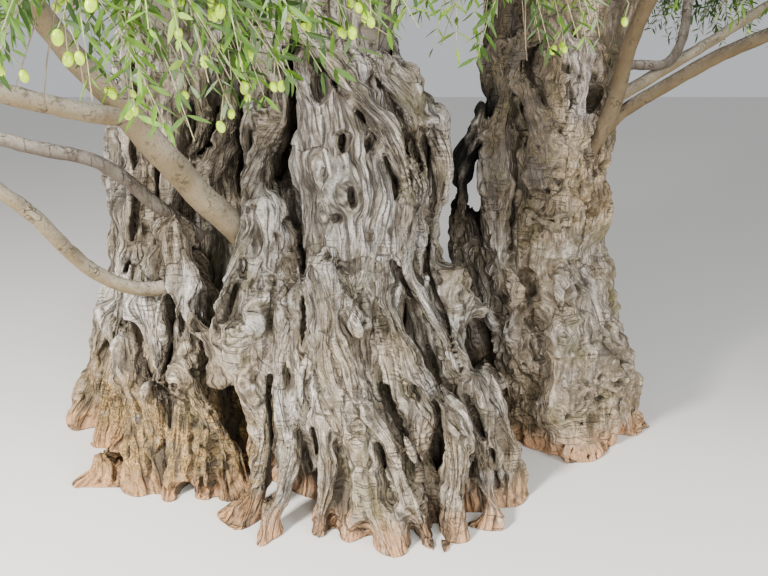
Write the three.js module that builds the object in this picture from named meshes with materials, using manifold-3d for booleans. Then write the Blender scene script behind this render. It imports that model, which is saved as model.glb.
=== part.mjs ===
// An ancient olive tree: a broad trunk of fused, fluted ropes of wood, a second stem that rises from the
// same root on the right, boughs that leave both low down, and a rounded crown of separate leafy masses.
// Millimetres, +Z up. X runs to the viewer's right and Y away from the viewer. The origin is at ground level
// under the middle of the trunk, on its flat foot.
import * as THREE from "three";
import { mergeVertices } from "three/addons/utils/BufferGeometryUtils.js";
import Module from "manifold-3d";

const wasm = await Module();
wasm.setup();

const METRE = 1000;

// Driving sizes of the trunk
const rootDepth = 0.25; // the ropes are swept this far below the ground, then cut off flat at z = 0
const ropeSides = 7;
const ropeRings = 6;
const fluteDepth = 0.09; // share of a rope's radius that its own flutes swell and sink by
const headRounding = 0.16; // share of a rope's length over which its head closes in
const headShare = 0.45; // share of its radius that a rope keeps at its very top
const footFlare = 1.22; // how much wider a rope stands at the ground than its foot radius
const flareHeight = 0.16;
const cleftGap = 0.0002; // half the gap between the two stems' meeting faces

// Driving sizes of the boughs
const jointGap = 0.0003; // clear distance between a limb and the collar that it leaves
const limbSides = 6;
const limbRings = 5;
const stubLength = 0.09; // a tip's stub, which points to the mass that it carries

// Driving sizes of the crown
const crownSpread = 6.1; // tip to tip
const tierOneHeight = 2.85;
const tierTwoHeight = 3.7;
const tierThreeHeight = 4.45;
const massReach = 0.72; // how far a crown mass reaches sideways from its own middle
const massFlatness = 0.82; // its height as a share of its width
const stemRadius = 0.026;
const stemOvershoot = 0.1; // a stem runs this far past the middle of its mass
const twigRadius = 0.011;
const twigTaper = 0.65;
const twigShare = 0.78; // how far out a twig goes, as a share of the mass's reach
const twigArch = 0.05;
const twigsPerMass = 5;
const leavesPerTwig = 3; // besides the one at its tip
const firstLeafShare = 0.42; // where along its twig the first one stands
const lastLeafShare = 0.92;
const leafSplay = 0.85;
const leafDroop = 0.12;
const leafTilt = 0.9;
const sprayLength = 0.42; // each blade stands for one spray of leaves
const sprayWidth = 0.15;
const sprayThickness = 0.011;
const sprayRootDepth = 0.2; // of the twig's radius, past its middle
const keepClear = 0.03; // a blade nearer than this to a limb is left off
const cellMargin = 0.012; // a mass keeps this far inside the space that is its own
const oliveLength = 0.024;
const oliveRadius = 0.009;
const stalkLength = 0.05;
const stalkRadius = 0.0035;

const barkOld = new THREE.MeshStandardMaterial({ color: 0x8a7c68, roughness: 0.95, metalness: 0 });
const barkSmooth = new THREE.MeshStandardMaterial({ color: 0x8f7c58, roughness: 0.8, metalness: 0 });
const foliage = new THREE.MeshStandardMaterial({ color: 0x6f8757, roughness: 0.7, metalness: 0 });

// The ropes of wood that make the broad trunk. Each rises from its foot through a waist to its head, and
// has a radius at all three. Metres.
const trunkRopes = [
  { foot: [-1.13, 0.02], waist: [-0.9, 0.02, 0.75], head: [-0.76, 0.02, 1.72], radii: [0.16, 0.17, 0.17] },
  { foot: [-1.04, -0.22], waist: [-0.92, -0.25, 0.25], head: [-0.8, -0.2, 0.6], radii: [0.06, 0.07, 0.09] },
  { foot: [-0.75, -0.38], waist: [-0.68, -0.38, 0.45], head: [-0.66, -0.28, 1.1], radii: [0.17, 0.15, 0.12] },
  { foot: [-0.53, -0.47], waist: [-0.53, -0.44, 0.5], head: [-0.55, -0.33, 1.02], radii: [0.17, 0.16, 0.12] },
  { foot: [-0.7, -0.05], waist: [-0.68, 0.0, 0.9], head: [-0.64, 0.02, 1.72], radii: [0.3, 0.22, 0.19] },
  { foot: [-0.42, 0.05], waist: [-0.44, -0.02, 1.0], head: [-0.46, 0.0, 1.74], radii: [0.36, 0.24, 0.19] },
  { foot: [-0.38, -0.7], waist: [-0.35, -0.47, 0.68], head: [-0.28, -0.32, 1.2], radii: [0.08, 0.15, 0.13] },
  { foot: [-0.22, -0.78], waist: [-0.22, -0.6, 0.35], head: [-0.22, -0.4, 0.85], radii: [0.08, 0.1, 0.14] },
  { foot: [-0.28, -0.1], waist: [-0.32, -0.2, 1.2], head: [-0.33, -0.14, 1.72], radii: [0.28, 0.16, 0.1] },
  { foot: [0.0, -0.7], waist: [-0.1, -0.43, 0.8], head: [-0.15, -0.28, 1.72], radii: [0.17, 0.19, 0.15] },
  { foot: [0.19, -0.73], waist: [0.04, -0.45, 0.85], head: [-0.01, -0.26, 1.78], radii: [0.17, 0.21, 0.19] },
  { foot: [0.38, -0.67], waist: [0.2, -0.36, 0.9], head: [0.17, -0.18, 1.72], radii: [0.15, 0.17, 0.17] },
  { foot: [0.51, -0.62], waist: [0.33, -0.28, 0.9], head: [0.3, -0.08, 1.58], radii: [0.11, 0.13, 0.14] },
  { foot: [0.6, -0.58], waist: [0.46, -0.44, 0.46], head: [0.41, -0.34, 0.84], radii: [0.09, 0.08, 0.13] },
  { foot: [0.1, -0.2], waist: [0.05, -0.1, 0.9], head: [0.0, 0.0, 1.7], radii: [0.5, 0.36, 0.28] },
  { foot: [0.5, -0.1], waist: [0.34, 0.02, 0.7], head: [0.24, 0.08, 1.5], radii: [0.16, 0.18, 0.16] },
];
// The ropes of the second stem, to the right.
const stemRopes = [
  { foot: [1.0, -0.04], waist: [0.85, 0.0, 0.85], head: [0.82, 0.04, 1.55], radii: [0.27, 0.2, 0.2] },
  { foot: [0.84, -0.14], waist: [0.75, -0.08, 0.5], head: [0.66, 0.04, 1.12], radii: [0.13, 0.17, 0.11] },
  { foot: [1.15, -0.02], waist: [1.0, 0.0, 0.7], head: [0.95, 0.0, 1.42], radii: [0.15, 0.15, 0.13] },
  { foot: [0.98, -0.2], waist: [0.86, -0.12, 0.45], head: [0.8, -0.06, 1.0], radii: [0.17, 0.18, 0.12] },
  { foot: [0.9, 0.0], waist: [0.84, 0.0, 1.1], head: [0.86, -0.06, 1.72], radii: [0.2, 0.16, 0.13] },
  { foot: [0.8, 0.1], waist: [0.68, 0.12, 1.15], head: [0.61, 0.19, 1.9], radii: [0.16, 0.12, 0.11] },
  { foot: [0.88, 0.1], waist: [0.8, 0.14, 1.2], head: [0.82, 0.22, 1.94], radii: [0.2, 0.15, 0.13] },
  { foot: [1.0, 0.22], waist: [0.9, 0.2, 1.2], head: [1.0, 0.28, 1.98], radii: [0.24, 0.18, 0.15] },
  { foot: [0.68, 0.18], waist: [0.59, 0.16, 0.75], head: [0.66, 0.17, 1.4], radii: [0.1, 0.07, 0.06] },
];
// Ropes round the side that faces away, by bearing in degrees from +X, share one rule.
const backBearings = [62, 82, 102, 122, 143, 163];
const backMiddle = [-0.22, 0.05];
const backSpread = { foot: [0.86, 0.6], waist: [0.56, 0.36], head: [0.42, 0.26] };
const backRadii = [0.2, 0.2, 0.18];
const backHeadHeight = 1.66;
// Low saddles of root that join the two stems at the ground
const trunkSaddle = {
  foot: [0.5, 0.0],
  waist: [0.58, -0.02, 0.16],
  head: [0.72, -0.02, 0.3],
  radii: [0.14, 0.14, 0.1],
};
const stemSaddle = {
  foot: [0.8, 0.02],
  waist: [0.66, -0.02, 0.22],
  head: [0.5, -0.02, 0.34],
  radii: [0.14, 0.13, 0.1],
};
// The upright plane where the two stems meet: a point on it and its bearing in degrees.
const cleft = { point: [0.62, -0.3], bearing: 16.7 };
// Knobs that swell out of the wood: place and radius.
const trunkBurls = [
  { at: [0.42, -0.42, 0.76], radius: 0.14 },
  { at: [-0.42, -0.52, 0.72], radius: 0.12 },
  { at: [-0.6, -0.5, 0.86], radius: 0.11 },
  { at: [-0.36, -0.56, 0.52], radius: 0.13 },
  { at: [-1.01, -0.48, 0.0], radius: 0.13 },
];
const stemBurls = [
  { at: [0.86, -0.2, 0.62], radius: 0.15 },
  { at: [1.08, -0.12, 0.32], radius: 0.2 },
  { at: [0.88, -0.22, 0.28], radius: 0.19 },
];
// Hollows worn into the wood: each is a tapering bore from one point to another.
const hollows = [
  { from: [-0.45, -0.62, 0.98], to: [-0.43, -0.42, 0.3], radii: [0.07, 0.05] },
  { from: [-0.61, -0.8, -0.02], to: [-0.58, -0.35, 0.1], radii: [0.07, 0.05] },
  { from: [-0.21, -0.6, 1.62], to: [-0.21, -0.36, 1.12], radii: [0.06, 0.035] },
  { from: [-0.3, -0.95, 0.04], to: [-0.3, -0.55, 0.22], radii: [0.06, 0.04] },
];

// Limbs: each leaves its parent's wood at the first point of its path and tapers to its tip.
const limbs = {
  bough_left_stout: {
    on: "trunk",
    path: [[-0.4, -0.33, 0.95], [-0.54, -0.47, 1.16], [-0.685, -0.73, 1.47]],
    radii: [0.054, 0.047],
    collar: 0.24,
  },
  bough_left_stout_outer: {
    on: "bough_left_stout",
    path: [[-0.665, -0.69, 1.43], [-0.77, -0.92, 1.47], [-0.99, -1.05, 1.56], [-1.42, -1.32, 1.86]],
    radii: [0.03, 0.022],
    collar: 0.12,
  },
  bough_left_stout_upper: {
    on: "bough_left_stout",
    path: [[-0.67, -0.7, 1.44], [-0.8, -0.97, 1.74], [-0.78, -1.32, 2.06]],
    radii: [0.038, 0.026],
    collar: 0.16,
  },
  bough_left_grey: {
    on: "trunk",
    path: [
      [-0.6, -0.24, 0.93],
      [-0.73, -0.36, 1.09],
      [-0.865, -0.5, 1.26],
      [-1.1, -0.6, 1.34],
      [-1.45, -0.55, 1.42],
      [-1.95, -0.3, 1.75],
    ],
    radii: [0.028, 0.02],
    collar: 0.15,
  },
  bough_left_low: {
    on: "trunk",
    path: [
      [-0.64, -0.36, 0.78],
      [-0.77, -0.47, 0.79],
      [-0.895, -0.585, 0.89],
      [-0.985, -0.75, 1.12],
      [-1.2, -0.9, 1.38],
      [-1.7, -1.02, 1.66],
    ],
    radii: [0.028, 0.02],
    collar: 0.16,
  },
  bough_right_upright: {
    on: "stem",
    path: [[0.98, 0.0, 1.2], [1.05, -0.05, 1.42], [1.085, -0.12, 1.7], [1.3, -0.5, 2.42]],
    radii: [0.034, 0.025],
    collar: 0.24,
  },
  bough_right_long: {
    on: "stem",
    path: [
      [0.96, 0.02, 1.22],
      [1.1, -0.03, 1.4],
      [1.32, -0.12, 1.56],
      [1.5, -0.2, 1.665],
      [2.06, -0.3, 1.9],
    ],
    radii: [0.029, 0.022],
    collar: 0.19,
  },
  bough_right_thin: {
    on: "stem",
    path: [[1.0, 0.22, 1.56], [1.2, 0.2, 1.58], [1.35, 0.21, 1.59], [1.405, 0.23, 1.7], [1.5, 0.5, 2.3]],
    radii: [0.022, 0.018],
    collar: 0.2,
  },
  bough_right_pale: {
    on: "stem",
    path: [[0.97, 0.2, 1.36], [1.22, 0.23, 1.485], [1.42, 0.27, 1.6], [1.6, 0.31, 1.7], [2.16, 0.34, 2.05]],
    radii: [0.028, 0.018],
    collar: 0.24,
  },
  limb_centre: {
    on: "trunk",
    path: [[-0.05, -0.2, 1.6], [-0.1, -0.12, 2.3], [-0.15, -0.2, 3.2]],
    radii: [0.145, 0.07],
    collar: 0.34,
  },
  limb_left: {
    on: "trunk",
    path: [[-0.68, 0.02, 1.5], [-1.0, 0.12, 2.2], [-1.45, 0.25, 2.7]],
    radii: [0.14, 0.06],
    collar: 0.42,
  },
  limb_back_left: {
    on: "trunk",
    path: [[-0.46, 0.28, 1.45], [-0.7, 0.75, 2.15], [-1.0, 1.4, 2.75]],
    radii: [0.13, 0.055],
    collar: 0.42,
  },
  limb_back: {
    on: "trunk",
    path: [[0.0, 0.28, 1.4], [0.15, 0.85, 2.15], [0.32, 1.55, 2.8]],
    radii: [0.13, 0.055],
    collar: 0.42,
  },
  limb_front: {
    on: "trunk",
    path: [[0.02, -0.08, 1.5], [0.2, -0.5, 2.2], [0.52, -1.2, 2.7]],
    radii: [0.1, 0.045],
    collar: 0.42,
  },
  limb_front_left: {
    on: "trunk",
    path: [[-0.5, -0.06, 1.5], [-0.78, -0.6, 2.2], [-1.1, -1.05, 2.85]],
    radii: [0.11, 0.045],
    collar: 0.4,
  },
  limb_stem_top: {
    on: "stem",
    path: [[0.99, 0.27, 1.75], [1.12, 0.38, 2.4], [1.22, 0.55, 3.05]],
    radii: [0.14, 0.055],
    collar: 0.38,
  },
  limb_stem_back: {
    on: "stem",
    path: [[0.92, 0.28, 1.3], [1.3, 0.75, 2.0], [1.8, 1.32, 2.65]],
    radii: [0.1, 0.045],
    collar: 0.4,
  },
};

// Masses that hang low round the crown's skirt: the limb each grows from, its middle and its reach.
const lowMasses = [
  {
    name: "foliage_front_hanging",
    on: "bough_left_stout_upper",
    at: [-0.34, -1.74, 1.87],
    reach: [0.64, 0.42, 0.42],
    hasOlives: true,
  },
  {
    name: "foliage_front_left",
    on: "bough_left_stout_outer",
    at: [-1.36, -1.7, 1.98],
    reach: [0.5, 0.48, 0.45],
    hasOlives: true,
  },
  {
    name: "foliage_left_low",
    on: "bough_left_low",
    at: [-2.12, -1.14, 1.92],
    reach: [0.52, 0.52, 0.5],
  },
  {
    name: "foliage_left",
    on: "bough_left_grey",
    at: [-2.4, -0.08, 2.1],
    reach: [0.6, 0.6, 0.55],
  },
  {
    name: "foliage_middle_hanging",
    on: "limb_front",
    at: [0.4, -1.3, 1.98],
    reach: [0.4, 0.36, 0.42],
    hasOlives: true,
  },
  {
    name: "foliage_right_low",
    on: "bough_right_long",
    at: [2.36, -0.42, 2.06],
    reach: [0.58, 0.58, 0.5],
  },
  {
    name: "foliage_right_front",
    on: "bough_right_upright",
    at: [1.3, -0.98, 2.08],
    reach: [0.55, 0.5, 0.5],
  },
  {
    name: "foliage_right_inner",
    on: "bough_right_thin",
    at: [1.66, 0.66, 2.06],
    reach: [0.46, 0.42, 0.42],
  },
];
// Rings of masses that close the crown: how many, how far out their middles stand, and how high.
const crownTiers = [
  { name: "skirt", count: 9, out: crownSpread / 2 - massReach, height: tierOneHeight, turn: 0 },
  { name: "shoulder", count: 6, out: 1.42, height: tierTwoHeight, turn: 20 },
  { name: "top", count: 3, out: 0.66, height: tierThreeHeight, turn: 50 },
];

const radians = THREE.MathUtils.degToRad;
const vec = (p) => new THREE.Vector3(...p);

// A closed geometry as a solid. Shared corners are merged first.
function solidOf(geometry) {
  const bare = new THREE.BufferGeometry();
  bare.setAttribute("position", geometry.getAttribute("position"));
  bare.setIndex(geometry.index);
  const merged = mergeVertices(bare, 1e-6);
  return new wasm.Manifold(
    new wasm.Mesh({
      numProp: 3,
      vertProperties: new Float32Array(merged.attributes.position.array),
      triVerts: new Uint32Array(merged.index.array),
    }),
  );
}

function geometryOf(solid) {
  const mesh = solid.getMesh();
  const corners = Float32Array.from(mesh.vertProperties, (x) => x * METRE);
  const geometry = new THREE.BufferGeometry();
  geometry.setAttribute("position", new THREE.BufferAttribute(corners, 3));
  geometry.setIndex(new THREE.BufferAttribute(mesh.triVerts, 1));
  return geometry;
}

const unite = (solids) => solids.reduce((all, one) => all.add(one));

// The largest connected body of a solid: a scrap that came loose, or a sealed hollow, is left out.
function largestBody(solid) {
  return solid.decompose().reduce((best, one) => (one.volume() > best.volume() ? one : best));
}

// A closed skin over rings of corners, with a flat end at each side.
function skin(rings) {
  const sides = rings[0].length;
  const corners = rings.flat().flatMap((p) => [p.x, p.y, p.z]);
  const faces = [];
  for (let r = 0; r + 1 < rings.length; r++) {
    for (let s = 0; s < sides; s++) {
      const a = r * sides + s;
      const b = r * sides + ((s + 1) % sides);
      faces.push(a, b, b + sides, a, b + sides, a + sides);
    }
  }
  const last = (rings.length - 1) * sides;
  for (let s = 1; s + 1 < sides; s++) {
    faces.push(0, s + 1, s);
    faces.push(last, last + s, last + s + 1);
  }
  const geometry = new THREE.BufferGeometry();
  geometry.setAttribute("position", new THREE.Float32BufferAttribute(corners, 3));
  geometry.setIndex(faces);
  return geometry;
}

// Rings of corners along a curve between two shares of its length. radiusAt gives the radius by the share
// along the curve and the angle round it.
function sweptRings(curve, start, end, steps, sides, radiusAt) {
  const rings = [];
  let across = new THREE.Vector3(1, 0, 0);
  for (let i = 0; i <= steps; i++) {
    const share = start + ((end - start) * i) / steps;
    const middle = curve.getPointAt(share);
    const along = curve.getTangentAt(share);
    across = across.clone().addScaledVector(along, -across.dot(along)).normalize();
    const other = new THREE.Vector3().crossVectors(along, across);
    const ring = [];
    for (let s = 0; s < sides; s++) {
      const angle = (2 * Math.PI * s) / sides;
      const radius = radiusAt(share, angle);
      ring.push(
        middle
          .clone()
          .addScaledVector(across, radius * Math.cos(angle))
          .addScaledVector(other, radius * Math.sin(angle)),
      );
    }
    rings.push(ring);
  }
  return rings;
}

// A rope of the trunk: it flares at the ground, is fluted, and closes in at its head.
function ropeSolid(rope, index) {
  const [footX, footY] = rope.foot;
  const points = [vec([footX, footY, -rootDepth]), vec([footX, footY, 0]), vec(rope.waist), vec(rope.head)];
  const curve = new THREE.CatmullRomCurve3(points, false, "centripetal");
  const [footRadius, waistRadius, headRadius] = rope.radii;
  const waistShare = rope.waist[2] / rope.head[2];
  const radiusAt = (share, angle) => {
    const height = curve.getPointAt(share).z;
    const climb = THREE.MathUtils.clamp(height / rope.head[2], 0, 1);
    const plain =
      climb < waistShare
        ? THREE.MathUtils.lerp(footRadius, waistRadius, THREE.MathUtils.smoothstep(climb, 0, waistShare))
        : THREE.MathUtils.lerp(waistRadius, headRadius, (climb - waistShare) / (1 - waistShare));
    const flare = 1 + (footFlare - 1) * Math.exp(-Math.max(height, 0) / flareHeight);
    const closing = Math.max(0, (share - (1 - headRounding)) / headRounding);
    const round = headShare + (1 - headShare) * Math.sqrt(1 - Math.min(1, closing) ** 2);
    const flutes = 1 + fluteDepth * Math.cos(3 * angle + 1.7 * index + 2 * share);
    return plain * flare * round * flutes;
  };
  return solidOf(skin(sweptRings(curve, 0, 1, ropeRings, ropeSides, radiusAt)));
}

function backRope(bearing) {
  const turn = radians(bearing);
  const place = ([spreadX, spreadY]) => [
    backMiddle[0] + spreadX * Math.cos(turn),
    backMiddle[1] + spreadY * Math.sin(turn),
  ];
  return {
    foot: place(backSpread.foot),
    waist: [...place(backSpread.waist), backHeadHeight / 2],
    head: [...place(backSpread.head), backHeadHeight],
    radii: backRadii,
  };
}

function burlSolid({ at, radius }) {
  const ball = new THREE.SphereGeometry(radius, 8, 5);
  ball.translate(...at);
  return solidOf(ball);
}

function hollowSolid({ from, to, radii }) {
  const curve = new THREE.LineCurve3(vec(from), vec(to));
  const radiusAt = (share) => THREE.MathUtils.lerp(radii[0], radii[1], share);
  return solidOf(skin(sweptRings(curve, 0, 1, 1, 6, radiusAt)));
}

// Everything on one side of an upright plane: side is -1 or 1.
function halfSpace(side) {
  const size = 12;
  const block = new THREE.BoxGeometry(size, size, size);
  block.translate((side * size) / 2 + side * cleftGap, 0, size / 2);
  block.rotateZ(radians(cleft.bearing));
  block.translate(cleft.point[0], cleft.point[1], 0);
  return solidOf(block);
}

const limbCurve = (limb) => new THREE.CatmullRomCurve3(limb.path.map(vec), false, "centripetal");

function limbRadius(limb, share) {
  return THREE.MathUtils.lerp(limb.radii[0], limb.radii[1], share);
}

// The root of a limb, which is one with its parent and ends in the flat face that the limb starts from.
function collarSolid(limb) {
  const rings = sweptRings(limbCurve(limb), 0, limb.collar, 3, limbSides, (share) => limbRadius(limb, share));
  return solidOf(skin(rings));
}

// A stub at a limb's tip that points to the middle of a mass and ends in a flat face.
function stubEnds(limb, mass) {
  const tip = vec(limb.path.at(-1));
  const towards = vec(mass.at).sub(tip).normalize();
  const seat = tip.clone().addScaledVector(towards, stubLength);
  return { tip, towards, seat };
}

function stubSolid(limb, mass) {
  const { tip, towards, seat } = stubEnds(limb, mass);
  const root = tip.clone().addScaledVector(towards, -limb.radii[1] / 2);
  const rings = sweptRings(new THREE.LineCurve3(root, seat), 0, 1, 1, limbSides, () => stemRadius);
  return solidOf(skin(rings));
}

function limbSolid(name) {
  const limb = limbs[name];
  const curve = limbCurve(limb);
  const start = limb.collar + jointGap / curve.getLength();
  const bare = sweptRings(curve, start, 1, limbRings, limbSides, (share) => limbRadius(limb, share));
  const collars = Object.values(limbs).filter((other) => other.on === name).map(collarSolid);
  const stubs = masses.filter((mass) => mass.on === name).map((mass) => stubSolid(limb, mass));
  return unite([solidOf(skin(bare)), ...collars, ...stubs]);
}

// Masses of the crown: the low ones, then the rings. A ring's mass grows from the high limb, or the outer
// bough on the right, whose tip is nearest.
const ringBearers = Object.keys(limbs).filter((name) => /^limb_|_pale$|_thin$/.test(name));

function nearestLimb(at) {
  const away = (name) => vec(limbs[name].path.at(-1)).distanceTo(vec(at));
  return ringBearers.reduce((best, name) => (away(name) < away(best) ? name : best));
}

function tierMasses(tier) {
  return Array.from({ length: tier.count }, (_, i) => {
    const bearing = radians(tier.turn + (360 * i) / tier.count);
    const at = [tier.out * Math.cos(bearing), tier.out * Math.sin(bearing), tier.height];
    const reach = [massReach, massReach, massReach * massFlatness];
    return { name: `foliage_${tier.name}_${i + 1}`, on: nearestLimb(at), at, reach };
  });
}

const masses = [...lowMasses, ...crownTiers.flatMap(tierMasses)];

// Every limb and stem as straight lengths with a radius, which foliage has to keep clear of.
const wood = [
  ...Object.values(limbs).flatMap((limb) => {
    const points = limbCurve(limb).getSpacedPoints(8);
    return points.slice(1).map((end, i) => ({
      line: new THREE.Line3(points[i], end),
      radius: limbRadius(limb, i / 8),
    }));
  }),
  ...masses.map((mass) => {
    const { tip } = stubEnds(limbs[mass.on], mass);
    return { line: new THREE.Line3(tip, vec(mass.at)), radius: stemRadius, mass };
  }),
];

function clearOfWood(point, own, margin) {
  const nearest = new THREE.Vector3();
  return wood.every((piece) => {
    if (piece.mass === own) return true;
    piece.line.closestPointToPoint(point, true, nearest);
    return nearest.distanceTo(point) > piece.radius + margin;
  });
}

// A mass owns what lies within its reach and on its side of the flat boundary with each other mass.
function inOwnSpace(point, mass) {
  const [rx, ry, rz] = mass.reach;
  const from = point.clone().sub(vec(mass.at));
  if ((from.x / rx) ** 2 + (from.y / ry) ** 2 + (from.z / rz) ** 2 > 1.001) return false;
  return masses.every((other) => {
    if (other === mass) return true;
    const apart = vec(other.at).sub(vec(mass.at));
    const gap = apart.length();
    const boundary = (gap * gap + mass.reach[0] ** 2 - other.reach[0] ** 2) / (2 * gap);
    return from.dot(apart) / gap < boundary - cellMargin;
  });
}

// Directions spread evenly over a sphere.
function evenDirection(i, count) {
  const goldenTurn = Math.PI * (3 - Math.sqrt(5));
  const height = 1 - (2 * (i + 0.5)) / count;
  const across = Math.sqrt(1 - height * height);
  return new THREE.Vector3(across * Math.cos(goldenTurn * i), across * Math.sin(goldenTurn * i), height);
}

// A flat blade with a ridge on both faces, pointed at both ends.
function bladeSolid(root, tip, flat) {
  const along = tip.clone().sub(root);
  const side = new THREE.Vector3().crossVectors(along, flat).normalize();
  const face = new THREE.Vector3().crossVectors(side, along).normalize();
  const middle = root.clone().addScaledVector(along, 0.42);
  const half = sprayWidth / 2;
  const corners = [
    root,
    tip,
    middle.clone().addScaledVector(side, half),
    middle.clone().addScaledVector(side, -half),
    middle.clone().addScaledVector(face, sprayThickness / 2),
    middle.clone().addScaledVector(face, -sprayThickness / 2),
  ];
  const geometry = new THREE.BufferGeometry();
  geometry.setAttribute("position", new THREE.Float32BufferAttribute(corners.flatMap((p) => p.toArray()), 3));
  geometry.setIndex([0, 2, 4, 4, 2, 1, 0, 4, 3, 3, 4, 1, 0, 3, 5, 5, 3, 1, 0, 5, 2, 2, 5, 1]);
  const solid = solidOf(geometry);
  return { corners, solid };
}

function twigSolid(points, radius) {
  const curve = new THREE.CatmullRomCurve3(points, false, "centripetal");
  const taper = (share) => radius * (1 - twigTaper * share);
  return solidOf(skin(sweptRings(curve, 0, 1, 2, 3, taper)));
}

function oliveSolid(at) {
  const olive = new THREE.IcosahedronGeometry(oliveRadius, 0);
  olive.scale(1, 1, oliveLength / (2 * oliveRadius));
  olive.translate(at.x, at.y, at.z);
  return solidOf(olive);
}

// One mass: a stem that starts at its limb's stub and runs to the middle, twigs that leave it evenly to all
// sides and arch over, and blades along each twig. What would leave the mass's space is left off.
function massSolid(mass) {
  const { towards, seat } = stubEnds(limbs[mass.on], mass);
  const middle = vec(mass.at);
  const start = seat.clone().addScaledVector(towards, jointGap);
  const beyond = middle.clone().addScaledVector(towards, stemOvershoot);
  const stemTaper = (share) => stemRadius * (1 - 0.5 * share);
  const stem = sweptRings(new THREE.LineCurve3(start, beyond), 0, 1, 1, limbSides, stemTaper);
  const pieces = [solidOf(skin(stem))];
  const up = new THREE.Vector3(0, 0, 1);
  for (let i = 0; i < twigsPerMass; i++) {
    const outward = evenDirection(i, twigsPerMass);
    if (outward.dot(towards) < -0.8) continue;
    const edge = middle.clone().add(outward.clone().multiply(vec(mass.reach)));
    const arch = middle.clone().lerp(edge, 0.5).addScaledVector(up, twigArch);
    const twigEnd = middle.clone().lerp(edge, twigShare);
    const inside = [0.5, 0.75, 1].map((share) => middle.clone().lerp(twigEnd, share));
    if (!inside.every((p) => inOwnSpace(p, mass) && clearOfWood(p, mass, keepClear))) continue;
    const points = [middle, arch, twigEnd];
    pieces.push(twigSolid(points, twigRadius));
    const curve = new THREE.CatmullRomCurve3(points, false, "centripetal");
    for (let k = 0; k <= leavesPerTwig; k++) {
      const last = k === leavesPerTwig;
      const share = last ? 0.97 : THREE.MathUtils.lerp(firstLeafShare, lastLeafShare, k / leavesPerTwig);
      const root = curve.getPointAt(share);
      const along = curve.getTangentAt(share);
      const sideways = new THREE.Vector3().crossVectors(along, up).normalize();
      const hand = k % 2 ? 1 : -1;
      const aim = last
        ? edge.clone().sub(root)
        : along
            .clone()
            .multiplyScalar(0.5)
            .addScaledVector(sideways, leafSplay * hand)
            .addScaledVector(up, -leafDroop);
      aim.normalize();
      const length = last ? edge.distanceTo(root) : sprayLength;
      const sunk = root.clone().addScaledVector(aim, -sprayRootDepth * twigRadius);
      const tip = root.clone().addScaledVector(aim, length);
      const flat = up.clone().addScaledVector(sideways, leafTilt * hand);
      const blade = bladeSolid(sunk, tip, flat);
      const checked = [...blade.corners, root.clone().lerp(tip, 0.7)];
      if (!checked.every((p) => inOwnSpace(p, mass) && clearOfWood(p, mass, keepClear))) continue;
      pieces.push(blade.solid);
      if (mass.hasOlives && pieces.length % 3 === 0) {
        const hang = root.clone().addScaledVector(up, -stalkLength);
        pieces.push(twigSolid([root, root.clone().lerp(hang, 0.5), hang], stalkRadius));
        pieces.push(oliveSolid(hang.clone().addScaledVector(up, -oliveLength / 3)));
      }
    }
  }
  return largestBody(unite(pieces));
}

const collarsOn = (base) => Object.values(limbs).filter((limb) => limb.on === base).map(collarSolid);

function trunkSolid() {
  const ropes = [...trunkRopes, ...backBearings.map(backRope), trunkSaddle].map(ropeSolid);
  const worn = unite([...ropes, ...trunkBurls.map(burlSolid)]).subtract(unite(hollows.map(hollowSolid)));
  return largestBody(unite([worn, ...collarsOn("trunk")]).intersect(halfSpace(-1)));
}

function stemSolid() {
  const ropes = [...stemRopes, stemSaddle].map(ropeSolid);
  const wood = unite([...ropes, ...stemBurls.map(burlSolid), ...collarsOn("stem")]);
  return largestBody(wood.intersect(halfSpace(1)));
}

function node(name, solid, material) {
  const mesh = new THREE.Mesh(geometryOf(solid), material);
  mesh.name = name;
  return mesh;
}

const tree = new THREE.Group();
tree.add(node("trunk", trunkSolid(), barkOld));
tree.add(node("second_stem", stemSolid(), barkOld));
for (const name of Object.keys(limbs)) {
  tree.add(node(name, limbSolid(name), barkSmooth));
}
for (const mass of masses) {
  tree.add(node(mass.name, massSolid(mass), foliage));
}

export default tree;
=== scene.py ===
import math

import bpy
import numpy as np
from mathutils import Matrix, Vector


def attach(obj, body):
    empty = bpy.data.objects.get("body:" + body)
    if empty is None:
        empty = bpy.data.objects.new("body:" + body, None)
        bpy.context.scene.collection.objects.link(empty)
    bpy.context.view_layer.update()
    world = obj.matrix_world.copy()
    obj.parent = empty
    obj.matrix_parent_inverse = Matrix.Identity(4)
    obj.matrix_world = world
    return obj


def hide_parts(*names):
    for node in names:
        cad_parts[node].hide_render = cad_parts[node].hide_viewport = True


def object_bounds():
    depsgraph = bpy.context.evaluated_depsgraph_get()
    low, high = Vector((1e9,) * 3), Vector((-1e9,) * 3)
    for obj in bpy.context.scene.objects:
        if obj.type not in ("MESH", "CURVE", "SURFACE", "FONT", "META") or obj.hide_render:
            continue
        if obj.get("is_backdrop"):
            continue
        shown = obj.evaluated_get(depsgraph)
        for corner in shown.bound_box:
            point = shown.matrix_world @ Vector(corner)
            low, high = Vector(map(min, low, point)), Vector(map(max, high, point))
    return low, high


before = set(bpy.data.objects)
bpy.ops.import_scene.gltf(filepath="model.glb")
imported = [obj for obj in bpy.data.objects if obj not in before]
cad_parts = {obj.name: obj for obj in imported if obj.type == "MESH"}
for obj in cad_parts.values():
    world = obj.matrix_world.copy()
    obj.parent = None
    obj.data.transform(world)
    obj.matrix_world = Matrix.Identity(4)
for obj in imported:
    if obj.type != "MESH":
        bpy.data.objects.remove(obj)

cad_low, cad_high = (np.array(corner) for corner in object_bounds())

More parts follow.
